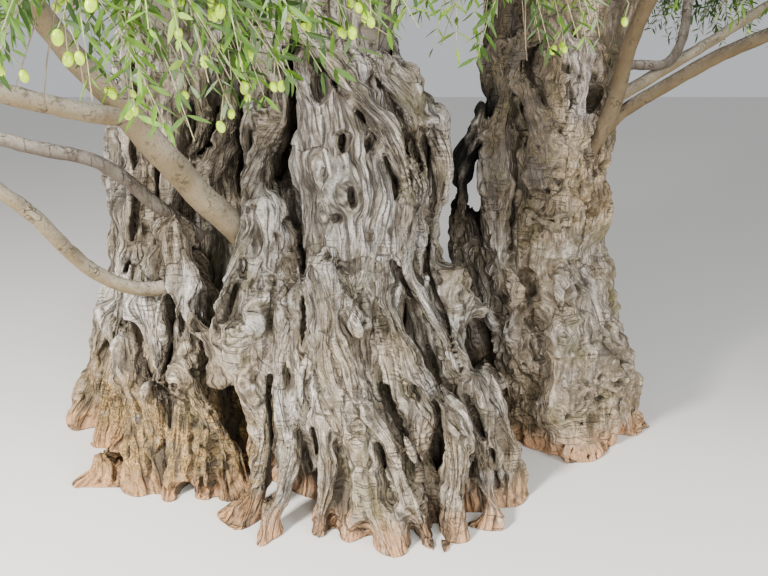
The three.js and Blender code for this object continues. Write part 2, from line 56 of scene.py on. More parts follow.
# Sizes of the wood
FRONT_CELL = 0.0064  # how finely the wood that faces the viewer is skinned
BACK_CELL = 0.014
STEM_BACK_CELL = BACK_CELL * 0.68
HEAD_CELL = BACK_CELL * 0.85
HIDDEN_DEPTH = 0.008  # skin this deep within the wood is out of sight
HIDDEN_SHARE = 0.05  # of its triangles, how many stay
CRUMB_CORNERS = 1500
SEAM_OVERLAP = 0.004  # each piece of wood runs this far into its neighbour, down in the clefts
SEAM_CALM = 0.022  # the bark's relief dies away over this distance to a seam
FUSE = 0.022  # how softly two ropes run into each other
BURL_FUSE = 0.045
HOLLOW_EDGE = 0.012
GROOVE_EDGE = 0.018
NARROWEST = 0.62  # grooves with a smaller half width, in cells, would come out ragged and are left out
GROOVE_SWAY = 0.014
GROOVE_SWAY_SCALE = (0.06, 0.09)
GROOVE_SLICE = 3.7
ROPE_SWELL = 0.008  # what the ropes lose again to their furrows
FOOT_FLARE = 0.2
FLARE_HEIGHT = 0.1
WANDER = 0.015  # how far a rope strays from its path
WANDER_SCALE = (0.17, 0.17, 0.2)
WANDER_SEEDS = (1, 2)
TWIST = 0.007  # and how far it strays from that again, in shorter bends
TWIST_SCALE = (0.06, 0.06, 0.08)
TWIST_SEEDS = (6, 7)
LUMP = 0.01
LUMP_SCALE = (0.07, 0.07, 0.1)
LUMP_SEED = 3
FOLD = 0.01
FOLD_SCALE = (0.045, 0.045, 0.24)
FOLD_SEED = 4
FAR_FROM_WOOD, FAR_AWAY = 1.0, 9.0
ON_GROUND = 0.05  # a rope whose foot is lower than this stands on the ground
# Room round a rope, a burl and a hollow, within which each acts on the field
ROPE_MARGIN, BURL_MARGIN, HOLLOW_MARGIN = 0.1, 0.06, 0.05
# Old wood on a limb: its size at the limb's first two points, for the limb's, and how deep it begins
SLEEVE, SLEEVE_DEPTH = (1.02, 0.9), 0.25
SKY_REACHES = (0.02, 0.045, 0.09)  # how far out of the wood its openness is felt for

# The furrows and the creases between lumps: how far apart, how long for their width, how deep, how wide
# and how much painted shade lies in their valleys
FURROWS = ((0.1, 6.0, 0.016, 0.19, 0.3), (0.044, 7.5, 0.011, 0.22, 0.5))
CREASES = ((0.07, 1.9, 0.019, 0.3, 0.45), (0.03, 1.7, 0.008, 0.3, 0.45))
FURROW_WAVER = 0.008
WAVER_SCALE = (0.12, 0.12, 0.13)
GRAIN_FRAY = 0.006  # how unevenly the grain of one rope gives way to the next
# Where the ropes are ringed across like a stack of collars: middle, half sizes and depth
RINGED = (((0.24, -0.46, 1.2), (0.1, 0.14, 0.22), 0.007), ((-0.27, -0.36, 1.34), (0.07, 0.12, 0.2), 0.004))
RING_SPACING = 0.026
# Each piece of wood: its solid, how finely it is skinned, and how strongly it is furrowed and pitted
WOOD = {
    "trunk_left_bark": ("trunk", FRONT_CELL, 0.75, 0.8),
    "buttress_bark": ("trunk", FRONT_CELL, 0.7, 1.2),
    "front_legs_bark": ("trunk", FRONT_CELL, 0.5, 0.9),
    "trunk_centre_bark": ("trunk", FRONT_CELL, 0.95, 0.6),
    "right_rope_bark": ("trunk", FRONT_CELL, 0.75, 0.8),
    "trunk_back_bark": ("trunk", BACK_CELL, 1.1, 0.8),
    "stem_front_bark": ("second_stem", FRONT_CELL, 0.22, 1.5),
    "stem_back_bark": ("second_stem", STEM_BACK_CELL, 0.7, 1.1),
    "trunk_head_bark": ("trunk", HEAD_CELL, 1.2, 0.6),
    "stem_head_bark": ("second_stem", HEAD_CELL, 1.1, 0.8),
}
PIT_DEPTH = 0.016

# Sizes of the foliage
SEED = 11
LEAF_LENGTH = 0.061
LEAF_WIDTH = 0.0118
LEAF_FOLD = 0.0022
FAR_LEAF_SIZE = 1.42
LEAF_SPACING = 0.0215
SHOOT_LENGTH = 0.27
TWIGS_PER_MASS = 25
FRINGE_TWIGS = 60
SHOOTS_PER_TWIG = 10
TWIG_RADIUS = 0.0045
FRINGE_TWIG_RADIUS = 0.0022
FRINGE_DROOP, DROOP = 0.6, 0.3
TWIG_REACH = (0.82, 0.97)  # for the reach of its mass
TWIG_ARCH, TWIG_WAVER = 0.05, 0.02
TWIG_BEARING, TWIG_START = 0.2, -0.3  # the length of stem that bears twigs, and where on it they begin
FURTHEST_BACK = -0.85  # twigs that would run back along the stem more than this are left out
TWIG_TAPER, SHOOT_TAPER, STEM_TAPER = 0.45, 0.5, 0.5
SHOOT_FEET = (0.2, 0.98)  # where shoots leave a twig
SHOOT_ROLL, SHOOT_LEAN = 1.1, (0.5, 1.0)
SHOOT_SIZES, SHOOT_SPREAD, SHOOT_ARCH = (0.65, 1.15), 0.8, 0.06
LEAF_FEET = (0.12, 1.0)  # where leaves leave a shoot
LEAF_OPENING, LEAF_SIZES = (0.7, 1.6), (0.7, 1.15)
LEAF_WAVER, LEAF_ROLL, LEAF_UPRIGHT = 0.12, 0.45, 0.8
OLIVE_FEET, STALK_SIZES = (0.5, 1.0), (0.6, 1.5)
SHOOT_RADIUS = 0.0017
STEM_RADIUS = 0.026
OLD_LIMB_RADIUS = 0.09  # limbs stouter than this begin in the old wood
STEM_SINK = 0.02  # how deep in its limb a mass's stem begins
STEM_OVERSHOOT = 0.1
LEAF_CLEARANCE, LIMB_STEPS = 0.02, 8
CELL_MARGIN = 0.012
CAD_ALLOWANCE = 0.06  # how far a twig or leaf may pass the solids' box
OLIVE_LENGTH = 0.0205
OLIVE_WIDTH = 0.0148
OLIVE_TILT = 0.35
OLIVE_SPREAD, OLIVE_HANG = 0.75, 0.45  # for the width and the length of an olive
LONG_STALKS = 0.14  # the share of olives on long stalks
LONG_STALK, SHORT_STALK = 0.12, 0.035
STALK_RADII = (0.0011, 0.0009)

# The ropes of each piece of wood: points of a rope's middle line with its radius, foot first
ROPES = {
    "trunk_left_bark": {
        "left outer": [
            (-1.2, 0.02, 0, 0.13), (-1.07, 0, 0.4, 0.125), (-0.94, 0, 0.86, 0.115), (-0.87, 0, 1.32, 0.115),
            (-0.83, 0, 1.64, 0.11)],
        "left outer side": [
            (-1.03, -0.16, 0, 0.1), (-0.98, -0.14, 0.4, 0.09), (-0.88, -0.13, 0.9, 0.085),
            (-0.83, -0.11, 1.3, 0.08), (-0.8, -0.09, 1.62, 0.08)],
        "left core": [
            (-0.86, -0.06, 0, 0.24), (-0.8, -0.05, 0.6, 0.16), (-0.72, -0.03, 1.05, 0.13),
            (-0.62, -0.06, 1.37, 0.12), (-0.56, -0.04, 1.66, 0.12)],
        "left leg": [
            (-1.11, -0.24, 0, 0.035), (-1.09, -0.22, 0.12, 0.031), (-1.05, -0.2, 0.23, 0.032),
            (-1.01, -0.18, 0.34, 0.04), (-0.95, -0.2, 0.5, 0.06), (-0.87, -0.2, 0.74, 0.07)],
        "left slab": [
            (-0.78, -0.2, 0.8, 0.06), (-0.75, -0.18, 1.01, 0.064), (-0.72, -0.16, 1.18, 0.074),
            (-0.7, -0.13, 1.33, 0.08), (-0.69, -0.11, 1.46, 0.08), (-0.68, -0.07, 1.64, 0.085)],
        "left strip": [
            (-0.6, -0.23, 1.24, 0.027), (-0.58, -0.23, 1.31, 0.032), (-0.56, -0.2, 1.44, 0.032),
            (-0.55, -0.17, 1.64, 0.036)],
        "left inner": [
            (-0.55, -0.26, 1.18, 0.045), (-0.48, -0.28, 1.28, 0.06), (-0.46, -0.26, 1.38, 0.058),
            (-0.48, -0.24, 1.46, 0.058), (-0.47, -0.22, 1.56, 0.058), (-0.46, -0.2, 1.66, 0.058)],
        "left curl": [
            (-0.4, -0.34, 1.06, 0.045), (-0.37, -0.37, 1.15, 0.046), (-0.33, -0.36, 1.24, 0.05),
            (-0.28, -0.34, 1.32, 0.05), (-0.25, -0.33, 1.41, 0.046), (-0.26, -0.31, 1.51, 0.046),
            (-0.28, -0.27, 1.67, 0.045)],
        "small loop": [
            (-0.38, -0.31, 1.25, 0.03), (-0.385, -0.31, 1.35, 0.03), (-0.35, -0.31, 1.43, 0.026),
            (-0.31, -0.3, 1.48, 0.024)],
    },
    "buttress_bark": {
        "buttress core": [
            (-0.68, -0.34, 0, 0.22), (-0.68, -0.36, 0.3, 0.155), (-0.67, -0.36, 0.52, 0.11),
            (-0.67, -0.32, 0.8, 0.1)],
        "root knob": [(-1.04, -0.5, 0, 0.075), (-1.0, -0.48, 0.05, 0.05)],
        "knob root": [(-0.92, -0.49, 0, 0.06), (-0.91, -0.48, 0.03, 0.04)],
        "apron": [
            (-0.81, -0.54, 0, 0.068), (-0.82, -0.51, 0.08, 0.072), (-0.84, -0.48, 0.19, 0.072),
            (-0.86, -0.45, 0.31, 0.06), (-0.88, -0.42, 0.41, 0.063), (-0.88, -0.38, 0.53, 0.047)],
        "left fold": [
            (-0.73, -0.54, 0, 0.06), (-0.74, -0.52, 0.14, 0.058), (-0.75, -0.5, 0.28, 0.052),
            (-0.75, -0.5, 0.4, 0.046), (-0.73, -0.48, 0.49, 0.042), (-0.75, -0.44, 0.58, 0.036),
            (-0.77, -0.38, 0.74, 0.04)],
        "middle fold": [
            (-0.48, -0.61, 0, 0.05), (-0.5, -0.58, 0.14, 0.054), (-0.52, -0.57, 0.27, 0.058),
            (-0.56, -0.55, 0.38, 0.057), (-0.62, -0.53, 0.46, 0.057), (-0.63, -0.48, 0.55, 0.054),
            (-0.66, -0.43, 0.66, 0.05), (-0.64, -0.38, 0.8, 0.058)],
        "panel": [
            (-0.65, -0.56, 0, 0.059), (-0.64, -0.54, 0.17, 0.072), (-0.63, -0.53, 0.31, 0.064),
            (-0.63, -0.52, 0.42, 0.05)],
        "panel right": [
            (-0.57, -0.6, 0, 0.051), (-0.56, -0.57, 0.12, 0.058), (-0.57, -0.55, 0.28, 0.054),
            (-0.58, -0.54, 0.36, 0.045)],
    },
    "front_legs_bark": {
        "outer leg": [
            (-0.42, -0.78, 0, 0.047), (-0.37, -0.73, 0.1, 0.04), (-0.35, -0.7, 0.18, 0.041),
            (-0.32, -0.66, 0.28, 0.048), (-0.34, -0.62, 0.39, 0.05), (-0.36, -0.59, 0.49, 0.054),
            (-0.36, -0.56, 0.57, 0.074), (-0.37, -0.53, 0.67, 0.089), (-0.35, -0.5, 0.77, 0.085),
            (-0.32, -0.46, 0.87, 0.078), (-0.3, -0.43, 0.98, 0.081), (-0.31, -0.4, 1.09, 0.07)],
        "inner leg": [
            (-0.29, -0.88, 0, 0.028), (-0.28, -0.82, 0.1, 0.03), (-0.24, -0.76, 0.16, 0.034),
            (-0.22, -0.7, 0.26, 0.047), (-0.23, -0.66, 0.38, 0.047), (-0.26, -0.62, 0.49, 0.048),
            (-0.26, -0.58, 0.61, 0.051), (-0.24, -0.54, 0.73, 0.055), (-0.23, -0.49, 0.85, 0.05),
            (-0.24, -0.43, 0.99, 0.048)],
        "loop": [
            (-0.43, -0.56, 0.5, 0.05), (-0.49, -0.55, 0.62, 0.052), (-0.52, -0.54, 0.69, 0.044),
            (-0.5, -0.53, 0.77, 0.037), (-0.45, -0.52, 0.86, 0.03), (-0.41, -0.5, 0.95, 0.03),
            (-0.36, -0.46, 1.04, 0.032)],
    },
    "trunk_centre_bark": {
        "centre left": [
            (-0.1, -0.8, 0, 0.045), (-0.09, -0.7, 0.17, 0.065), (-0.13, -0.6, 0.45, 0.085),
            (-0.13, -0.54, 0.74, 0.09), (-0.1, -0.5, 1.02, 0.1), (-0.09, -0.43, 1.29, 0.1),
            (-0.14, -0.34, 1.56, 0.07)],
        "centre middle": [
            (0.08, -0.76, 0, 0.11), (0.07, -0.7, 0.19, 0.11), (0.02, -0.62, 0.47, 0.12),
            (0.01, -0.56, 0.75, 0.11), (0.02, -0.51, 0.99, 0.125), (0.02, -0.43, 1.29, 0.125),
            (-0.02, -0.34, 1.56, 0.1)],
        "centre right": [
            (0.28, -0.76, 0, 0.1), (0.24, -0.68, 0.17, 0.1), (0.19, -0.61, 0.46, 0.095),
            (0.13, -0.55, 0.74, 0.095), (0.13, -0.5, 0.98, 0.1), (0.13, -0.42, 1.29, 0.085),
            (0.04, -0.32, 1.56, 0.08)],
        "left horn": [
            (-0.1, -0.44, 1.18, 0.03), (-0.13, -0.47, 1.36, 0.05), (-0.15, -0.43, 1.47, 0.045),
            (-0.19, -0.39, 1.54, 0.043), (-0.22, -0.36, 1.62, 0.043), (-0.23, -0.34, 1.72, 0.042)],
        "right horn": [
            (0.02, -0.44, 1.26, 0.04), (-0.0, -0.44, 1.42, 0.05), (-0.03, -0.4, 1.54, 0.042),
            (-0.06, -0.35, 1.66, 0.035), (-0.1, -0.3, 1.76, 0.03)],
        "diagonal ridge": [
            (0.36, -0.88, 0, 0.049), (0.38, -0.83, 0.14, 0.048), (0.39, -0.79, 0.23, 0.048),
            (0.38, -0.75, 0.31, 0.048), (0.34, -0.73, 0.4, 0.048), (0.3, -0.71, 0.48, 0.048),
            (0.24, -0.68, 0.58, 0.045), (0.2, -0.66, 0.66, 0.048), (0.15, -0.63, 0.77, 0.045),
            (0.14, -0.59, 0.92, 0.04)],
        "front foot": [
            (0.15, -0.92, 0, 0.065), (0.1, -0.87, 0.11, 0.068), (0.07, -0.82, 0.24, 0.063),
            (0.04, -0.77, 0.38, 0.05)],
        "front foot right": [
            (0.27, -0.92, 0, 0.045), (0.23, -0.88, 0.14, 0.048), (0.19, -0.83, 0.24, 0.045),
            (0.14, -0.79, 0.34, 0.042), (0.09, -0.77, 0.44, 0.039), (0.05, -0.74, 0.52, 0.036)],
        "left foot": [
            (-0.12, -0.87, 0, 0.035), (-0.09, -0.83, 0.1, 0.04), (-0.06, -0.79, 0.22, 0.047),
            (-0.07, -0.74, 0.37, 0.047), (-0.08, -0.7, 0.51, 0.045)],
        "middle left": [
            (0.01, -0.77, 0.39, 0.046), (-0.02, -0.74, 0.49, 0.046), (-0.07, -0.69, 0.6, 0.049),
            (-0.09, -0.66, 0.72, 0.054), (-0.11, -0.61, 0.86, 0.045)],
        "little strand": [
            (0.075, -0.73, 0.71, 0.027), (0.04, -0.7, 0.77, 0.03), (0.02, -0.67, 0.83, 0.028),
            (-0.01, -0.64, 0.9, 0.028)],
        "middle strand": [
            (0.05, -0.75, 0.5, 0.035), (0.02, -0.72, 0.61, 0.042), (-0.02, -0.69, 0.71, 0.042),
            (-0.03, -0.66, 0.81, 0.042), (-0.05, -0.61, 0.93, 0.042)],
    },
    "right_rope_bark": {
        "rope core": [
            (0.44, -0.6, 0, 0.13), (0.42, -0.56, 0.3, 0.11), (0.35, -0.48, 0.6, 0.11),
            (0.25, -0.38, 0.9, 0.1), (0.21, -0.3, 1.2, 0.1), (0.14, -0.24, 1.52, 0.085)],
        "crossing rope": [
            (0.14, -0.54, 0.9, 0.038), (0.2, -0.53, 1, 0.043), (0.225, -0.51, 1.1, 0.046),
            (0.215, -0.5, 1.2, 0.048), (0.18, -0.5, 1.31, 0.051), (0.13, -0.5, 1.4, 0.056),
            (0.07, -0.49, 1.48, 0.058), (0, -0.46, 1.56, 0.056), (-0.08, -0.4, 1.64, 0.052),
            (-0.16, -0.34, 1.7, 0.046)],
        "knotted rope": [
            (0.48, -0.82, 0, 0.043), (0.5, -0.78, 0.07, 0.045), (0.5, -0.72, 0.14, 0.05),
            (0.48, -0.69, 0.23, 0.05), (0.45, -0.66, 0.32, 0.05), (0.42, -0.63, 0.43, 0.05),
            (0.4, -0.61, 0.52, 0.046), (0.36, -0.59, 0.62, 0.046), (0.31, -0.58, 0.72, 0.045),
            (0.25, -0.56, 0.8, 0.042), (0.2, -0.53, 0.9, 0.038), (0.21, -0.47, 0.99, 0.042),
            (0.26, -0.42, 1.07, 0.045), (0.285, -0.37, 1.15, 0.046), (0.255, -0.38, 1.23, 0.053),
            (0.24, -0.36, 1.31, 0.045), (0.24, -0.33, 1.38, 0.048), (0.19, -0.31, 1.47, 0.044),
            (0.12, -0.28, 1.57, 0.038)],
        "edge rope": [
            (0.35, -0.36, 0.7, 0.06), (0.34, -0.33, 0.87, 0.05), (0.33, -0.29, 0.97, 0.05),
            (0.35, -0.25, 1.08, 0.05), (0.345, -0.22, 1.17, 0.05), (0.32, -0.2, 1.29, 0.046),
            (0.28, -0.18, 1.4, 0.043)],
        "stalk": [
            (0.61, -0.63, 0, 0.042), (0.6, -0.6, 0.12, 0.044), (0.58, -0.58, 0.27, 0.045),
            (0.54, -0.56, 0.34, 0.045), (0.49, -0.54, 0.43, 0.045), (0.45, -0.5, 0.52, 0.04),
            (0.43, -0.47, 0.6, 0.044), (0.41, -0.42, 0.73, 0.054)],
        "broken stub": [
            (0.2, -0.12, 1.0, 0.13), (0.18, -0.11, 1.3, 0.11), (0.13, -0.11, 1.5, 0.085),
            (0.115, -0.1, 1.63, 0.08)],
    },
    "stem_front_bark": {
        "stem left": [
            (0.82, -0.12, 0, 0.13), (0.77, -0.12, 0.17, 0.14), (0.73, -0.1, 0.48, 0.11),
            (0.72, -0.04, 0.87, 0.08), (0.7, 0.02, 1.2, 0.08), (0.68, 0.06, 1.5, 0.06)],
        "stem front": [
            (1.0, -0.2, 0, 0.15), (0.96, -0.18, 0.18, 0.155), (0.9, -0.16, 0.5, 0.14),
            (0.86, -0.09, 0.84, 0.115), (0.86, -0.05, 1.13, 0.115), (0.83, -0.0, 1.38, 0.1)],
        "stem right": [
            (1.19, -0.06, 0, 0.12), (1.14, -0.06, 0.27, 0.14), (1.03, -0.04, 0.64, 0.12),
            (0.95, -0.0, 0.95, 0.1), (0.96, 0.03, 1.24, 0.1), (0.93, 0.07, 1.5, 0.085)],
        "torn rim": [
            (0.78, -0.16, 1.15, 0.05), (0.76, -0.15, 1.26, 0.048), (0.75, -0.12, 1.38, 0.044),
            (0.72, -0.09, 1.49, 0.04), (0.71, -0.05, 1.58, 0.037), (0.72, -0.02, 1.68, 0.032)],
        "torn edge": [
            (0.82, -0.11, 1.38, 0.045), (0.82, -0.06, 1.5, 0.04), (0.82, -0.03, 1.64, 0.036),
            (0.79, -0.02, 1.72, 0.03)],
        "stub body": [
            (0.83, 0.0, 1.2, 0.1), (0.83, 0.03, 1.45, 0.1), (0.84, 0.04, 1.6, 0.09),
            (0.83, 0.06, 1.71, 0.065)],
        "lobe": [
            (0.84, -0.16, 1.0, 0.055), (0.87, -0.13, 1.13, 0.057), (0.9, -0.09, 1.27, 0.061),
            (0.93, -0.04, 1.4, 0.062), (0.95, 0, 1.5, 0.055), (0.94, 0.02, 1.59, 0.065)],
        "right shoulder": [
            (0.94, -0.13, 0.84, 0.06), (1, -0.08, 1.02, 0.056), (1.02, -0.02, 1.16, 0.06),
            (1.02, 0, 1.3, 0.062), (1.01, 0.02, 1.42, 0.054)],
        "left column": [
            (0.64, -0.12, 0.7, 0.07), (0.62, -0.1, 0.86, 0.063), (0.62, -0.07, 1, 0.063),
            (0.61, -0.05, 1.14, 0.064), (0.61, 0, 1.3, 0.054), (0.64, 0.04, 1.42, 0.054),
            (0.64, 0.06, 1.53, 0.054), (0.64, 0.08, 1.64, 0.053)],
        "left foot of stem": [
            (0.72, -0.16, 0.3, 0.1), (0.66, -0.1, 0.48, 0.08), (0.58, -0.06, 0.65, 0.065),
            (0.55, -0.02, 0.78, 0.055)],
    },
    "stem_back_bark": {
        "stem back": [
            (0.97, 0.14, 0, 0.24), (0.94, 0.14, 0.54, 0.2), (0.92, 0.18, 1.0, 0.17),
            (1.0, 0.24, 1.39, 0.155), (1.03, 0.28, 1.8, 0.15), (1.05, 0.3, 2.0, 0.15)],
        "stem back left": [
            (0.8, 0.12, 0, 0.16), (0.72, 0.13, 0.8, 0.11), (0.7, 0.15, 1.2, 0.1), (0.68, 0.18, 1.66, 0.09)],
        "charred blade": [
            (0.6, 0.1, 0, 0.13), (0.53, 0.1, 0.4, 0.08), (0.475, 0.1, 0.73, 0.043), (0.46, 0.1, 0.9, 0.038),
            (0.46, 0.1, 1.06, 0.033), (0.475, 0.1, 1.19, 0.033), (0.52, 0.1, 1.29, 0.037),
            (0.56, 0.1, 1.42, 0.037), (0.58, 0.1, 1.54, 0.037)],
        "charred side": [
            (0.62, 0.1, 0.5, 0.06), (0.6, 0.1, 0.73, 0.054), (0.59, 0.1, 0.95, 0.04),
            (0.59, 0.1, 1.1, 0.031), (0.59, 0.1, 1.23, 0.036), (0.62, 0.12, 1.42, 0.045)],
        "charred foot": [
            (0.54, 0.08, 0.6, 0.08), (0.52, 0.08, 0.81, 0.062), (0.53, 0.09, 0.9, 0.042),
            (0.52, 0.1, 0.96, 0.022)],
        "head side": [
            (0.6, 0.14, 1.25, 0.04), (0.61, 0.15, 1.42, 0.055), (0.605, 0.16, 1.54, 0.085),
            (0.61, 0.18, 1.7, 0.095), (0.61, 0.19, 1.88, 0.095)],
        "head back": [
            (0.84, 0.14, 0.9, 0.14), (0.8, 0.15, 1.25, 0.13), (0.81, 0.19, 1.6, 0.125),
            (0.82, 0.22, 1.92, 0.12)],
    },
}
# The wood inside and behind, as foot, waist and head with a radius at each
CORE_ROPES = (
    ((-0.68, -0.03), (-0.66, 0.03, 0.9), (-0.64, 0.04, 1.62), (0.3, 0.2, 0.15)),
    ((-0.42, 0.05), (-0.44, 0.02, 1.0), (-0.46, 0.02, 1.62), (0.36, 0.22, 0.16)),
    ((-0.3, -0.12), (-0.32, -0.14, 1.1), (-0.33, -0.08, 1.6), (0.3, 0.14, 0.1)),
    ((0.1, -0.2), (0.04, -0.14, 0.9), (-0.02, -0.02, 1.56), (0.46, 0.3, 0.22)),
    ((0.46, -0.08), (0.26, 0.0, 0.7), (0.2, 0.04, 1.4), (0.16, 0.13, 0.12)),
    ((0.52, 0.0), (0.58, -0.02, 0.16), (0.6, -0.02, 0.24), (0.14, 0.13, 0.08)),
)
BACK_BEARINGS = (62, 82, 102, 122, 143, 163)
BACK_MIDDLE = (-0.22, 0.05)
BACK_SPREAD = ((0.86, 0.6), (0.56, 0.36), (0.42, 0.26))
BACK_HEIGHTS = (0.0, 0.83, 1.66)
BACK_RADII = (0.2, 0.2, 0.17)

# Knobs that swell out of the wood: middle and radius
BURLS = (
    ((0.39, -0.43, 0.785), 0.09), ((0.445, -0.42, 0.7), 0.065), ((0.42, -0.46, 0.62), 0.045),
    ((0.57, -0.3, 0.37), 0.065), ((-0.65, -0.37, 0.97), 0.08), ((-0.69, -0.38, 0.87), 0.068),
    ((-0.61, -0.38, 0.86), 0.05), ((-0.37, -0.56, 0.62), 0.09), ((-0.52, -0.54, 0.66), 0.052),
    ((-0.63, -0.54, 0.47), 0.058), ((-0.3, -0.43, 1.07), 0.08), ((-0.08, -0.66, 0.68), 0.06),
    ((0.072, -0.7, 0.733), 0.036), ((-0.2, -0.56, 0.78), 0.055), ((-0.05, -0.505, 1.16), 0.125),
    ((0.085, -0.5, 1.15), 0.12), ((0.01, -0.47, 1.3), 0.12), ((0.25, -0.4, 1.245), 0.055),
    ((0.295, -0.22, 1.39), 0.046), ((0.125, -0.3, 1.55), 0.03), ((0.86, -0.2, 0.53), 0.115),
    ((0.78, -0.2, 0.63), 0.075), ((1.04, -0.14, 0.3), 0.15), ((0.86, -0.24, 0.25), 0.15),
    ((1.17, -0.04, 0.2), 0.13), ((0.915, 0.0, 1.615), 0.078), ((0.735, -0.13, 1.365), 0.034),
    ((0.6, -0.07, 1.13), 0.06), ((0.745, -0.22, 1.0), 0.036), ((0.805, -0.23, 0.99), 0.04),
    ((0.87, -0.22, 1.01), 0.036), ((0.93, -0.19, 1.045), 0.032), ((0.78, -0.19, 1.195), 0.03),
    ((0.816, -0.18, 1.25), 0.03), ((0.87, -0.17, 1.243), 0.03), ((0.89, -0.16, 1.19), 0.028),
    ((-0.98, -0.48, 0.0), 0.09), ((-1.08, -0.52, 0.0), 0.06),
)
# Hollows worn into the wood: middle and half sizes
HOLLOWS = (
    ((-0.505, -0.5, 0.9), (0.045, 0.17, 0.12)), ((-0.53, -0.52, 0.75), (0.035, 0.14, 0.09)),
    ((-0.61, -0.68, 0.0), (0.035, 0.14, 0.07)), ((-0.2, -0.78, 0.04), (0.06, 0.12, 0.07)),
    ((0.07, -0.98, 0.06), (0.035, 0.08, 0.06)), ((-0.75, -0.56, 0.4), (0.03, 0.07, 0.045)),
    ((-0.82, -0.47, 0.62), (0.03, 0.1, 0.04)), ((-0.66, -0.5, 0.66), (0.012, 0.08, 0.05)),
    ((0.7, -0.28, 0.02), (0.045, 0.09, 0.055)), ((0.86, -0.38, 0.0), (0.03, 0.07, 0.03)),
    ((0.985, -0.05, 1.45), (0.03, 0.1, 0.055)), ((-0.088, -0.5, 1.525), (0.034, 0.12, 0.07)),
    ((0.0, -0.56, 1.343), (0.015, 0.07, 0.028)), ((0.098, -0.54, 1.33), (0.015, 0.06, 0.022)),
    ((0.018, -0.64, 1.16), (0.017, 0.06, 0.045)), ((-0.045, -0.63, 1.09), (0.024, 0.05, 0.016)),
    ((0.05, -0.65, 1.03), (0.012, 0.05, 0.024)), ((-0.483, -0.35, 1.175), (0.055, 0.08, 0.032)),
    ((-0.314, -0.36, 1.494), (0.022, 0.06, 0.018)), ((-0.403, -0.57, 0.888), (0.013, 0.1, 0.035)),
    ((0.752, -0.12, 1.59), (0.046, 0.12, 0.085)), ((-0.95, -0.3, 0.28), (0.03, 0.1, 0.12)),
    ((-0.635, -0.62, 0.466), (0.018, 0.05, 0.011)), ((0.532, 0.1, 1.093), (0.028, 0.2, 0.095)),
    ((0.023, -0.84, 0.477), (0.026, 0.06, 0.03)), ((0.058, -0.87, 0.41), (0.02, 0.06, 0.03)),
    ((-0.01, -0.83, 0.4), (0.016, 0.05, 0.02)), ((0.144, -0.75, 0.69), (0.018, 0.07, 0.045)),
    ((0.115, -0.15, 1.66), (0.052, 0.1, 0.12)), ((0.743, -0.22, 1.275), (0.017, 0.05, 0.014)),
    ((0.754, -0.24, 1.11), (0.02, 0.05, 0.014)), ((0.79, -0.34, 0.6), (0.02, 0.05, 0.015)),
    ((-0.41, -0.66, 0.3), (0.014, 0.16, 0.12)),
)
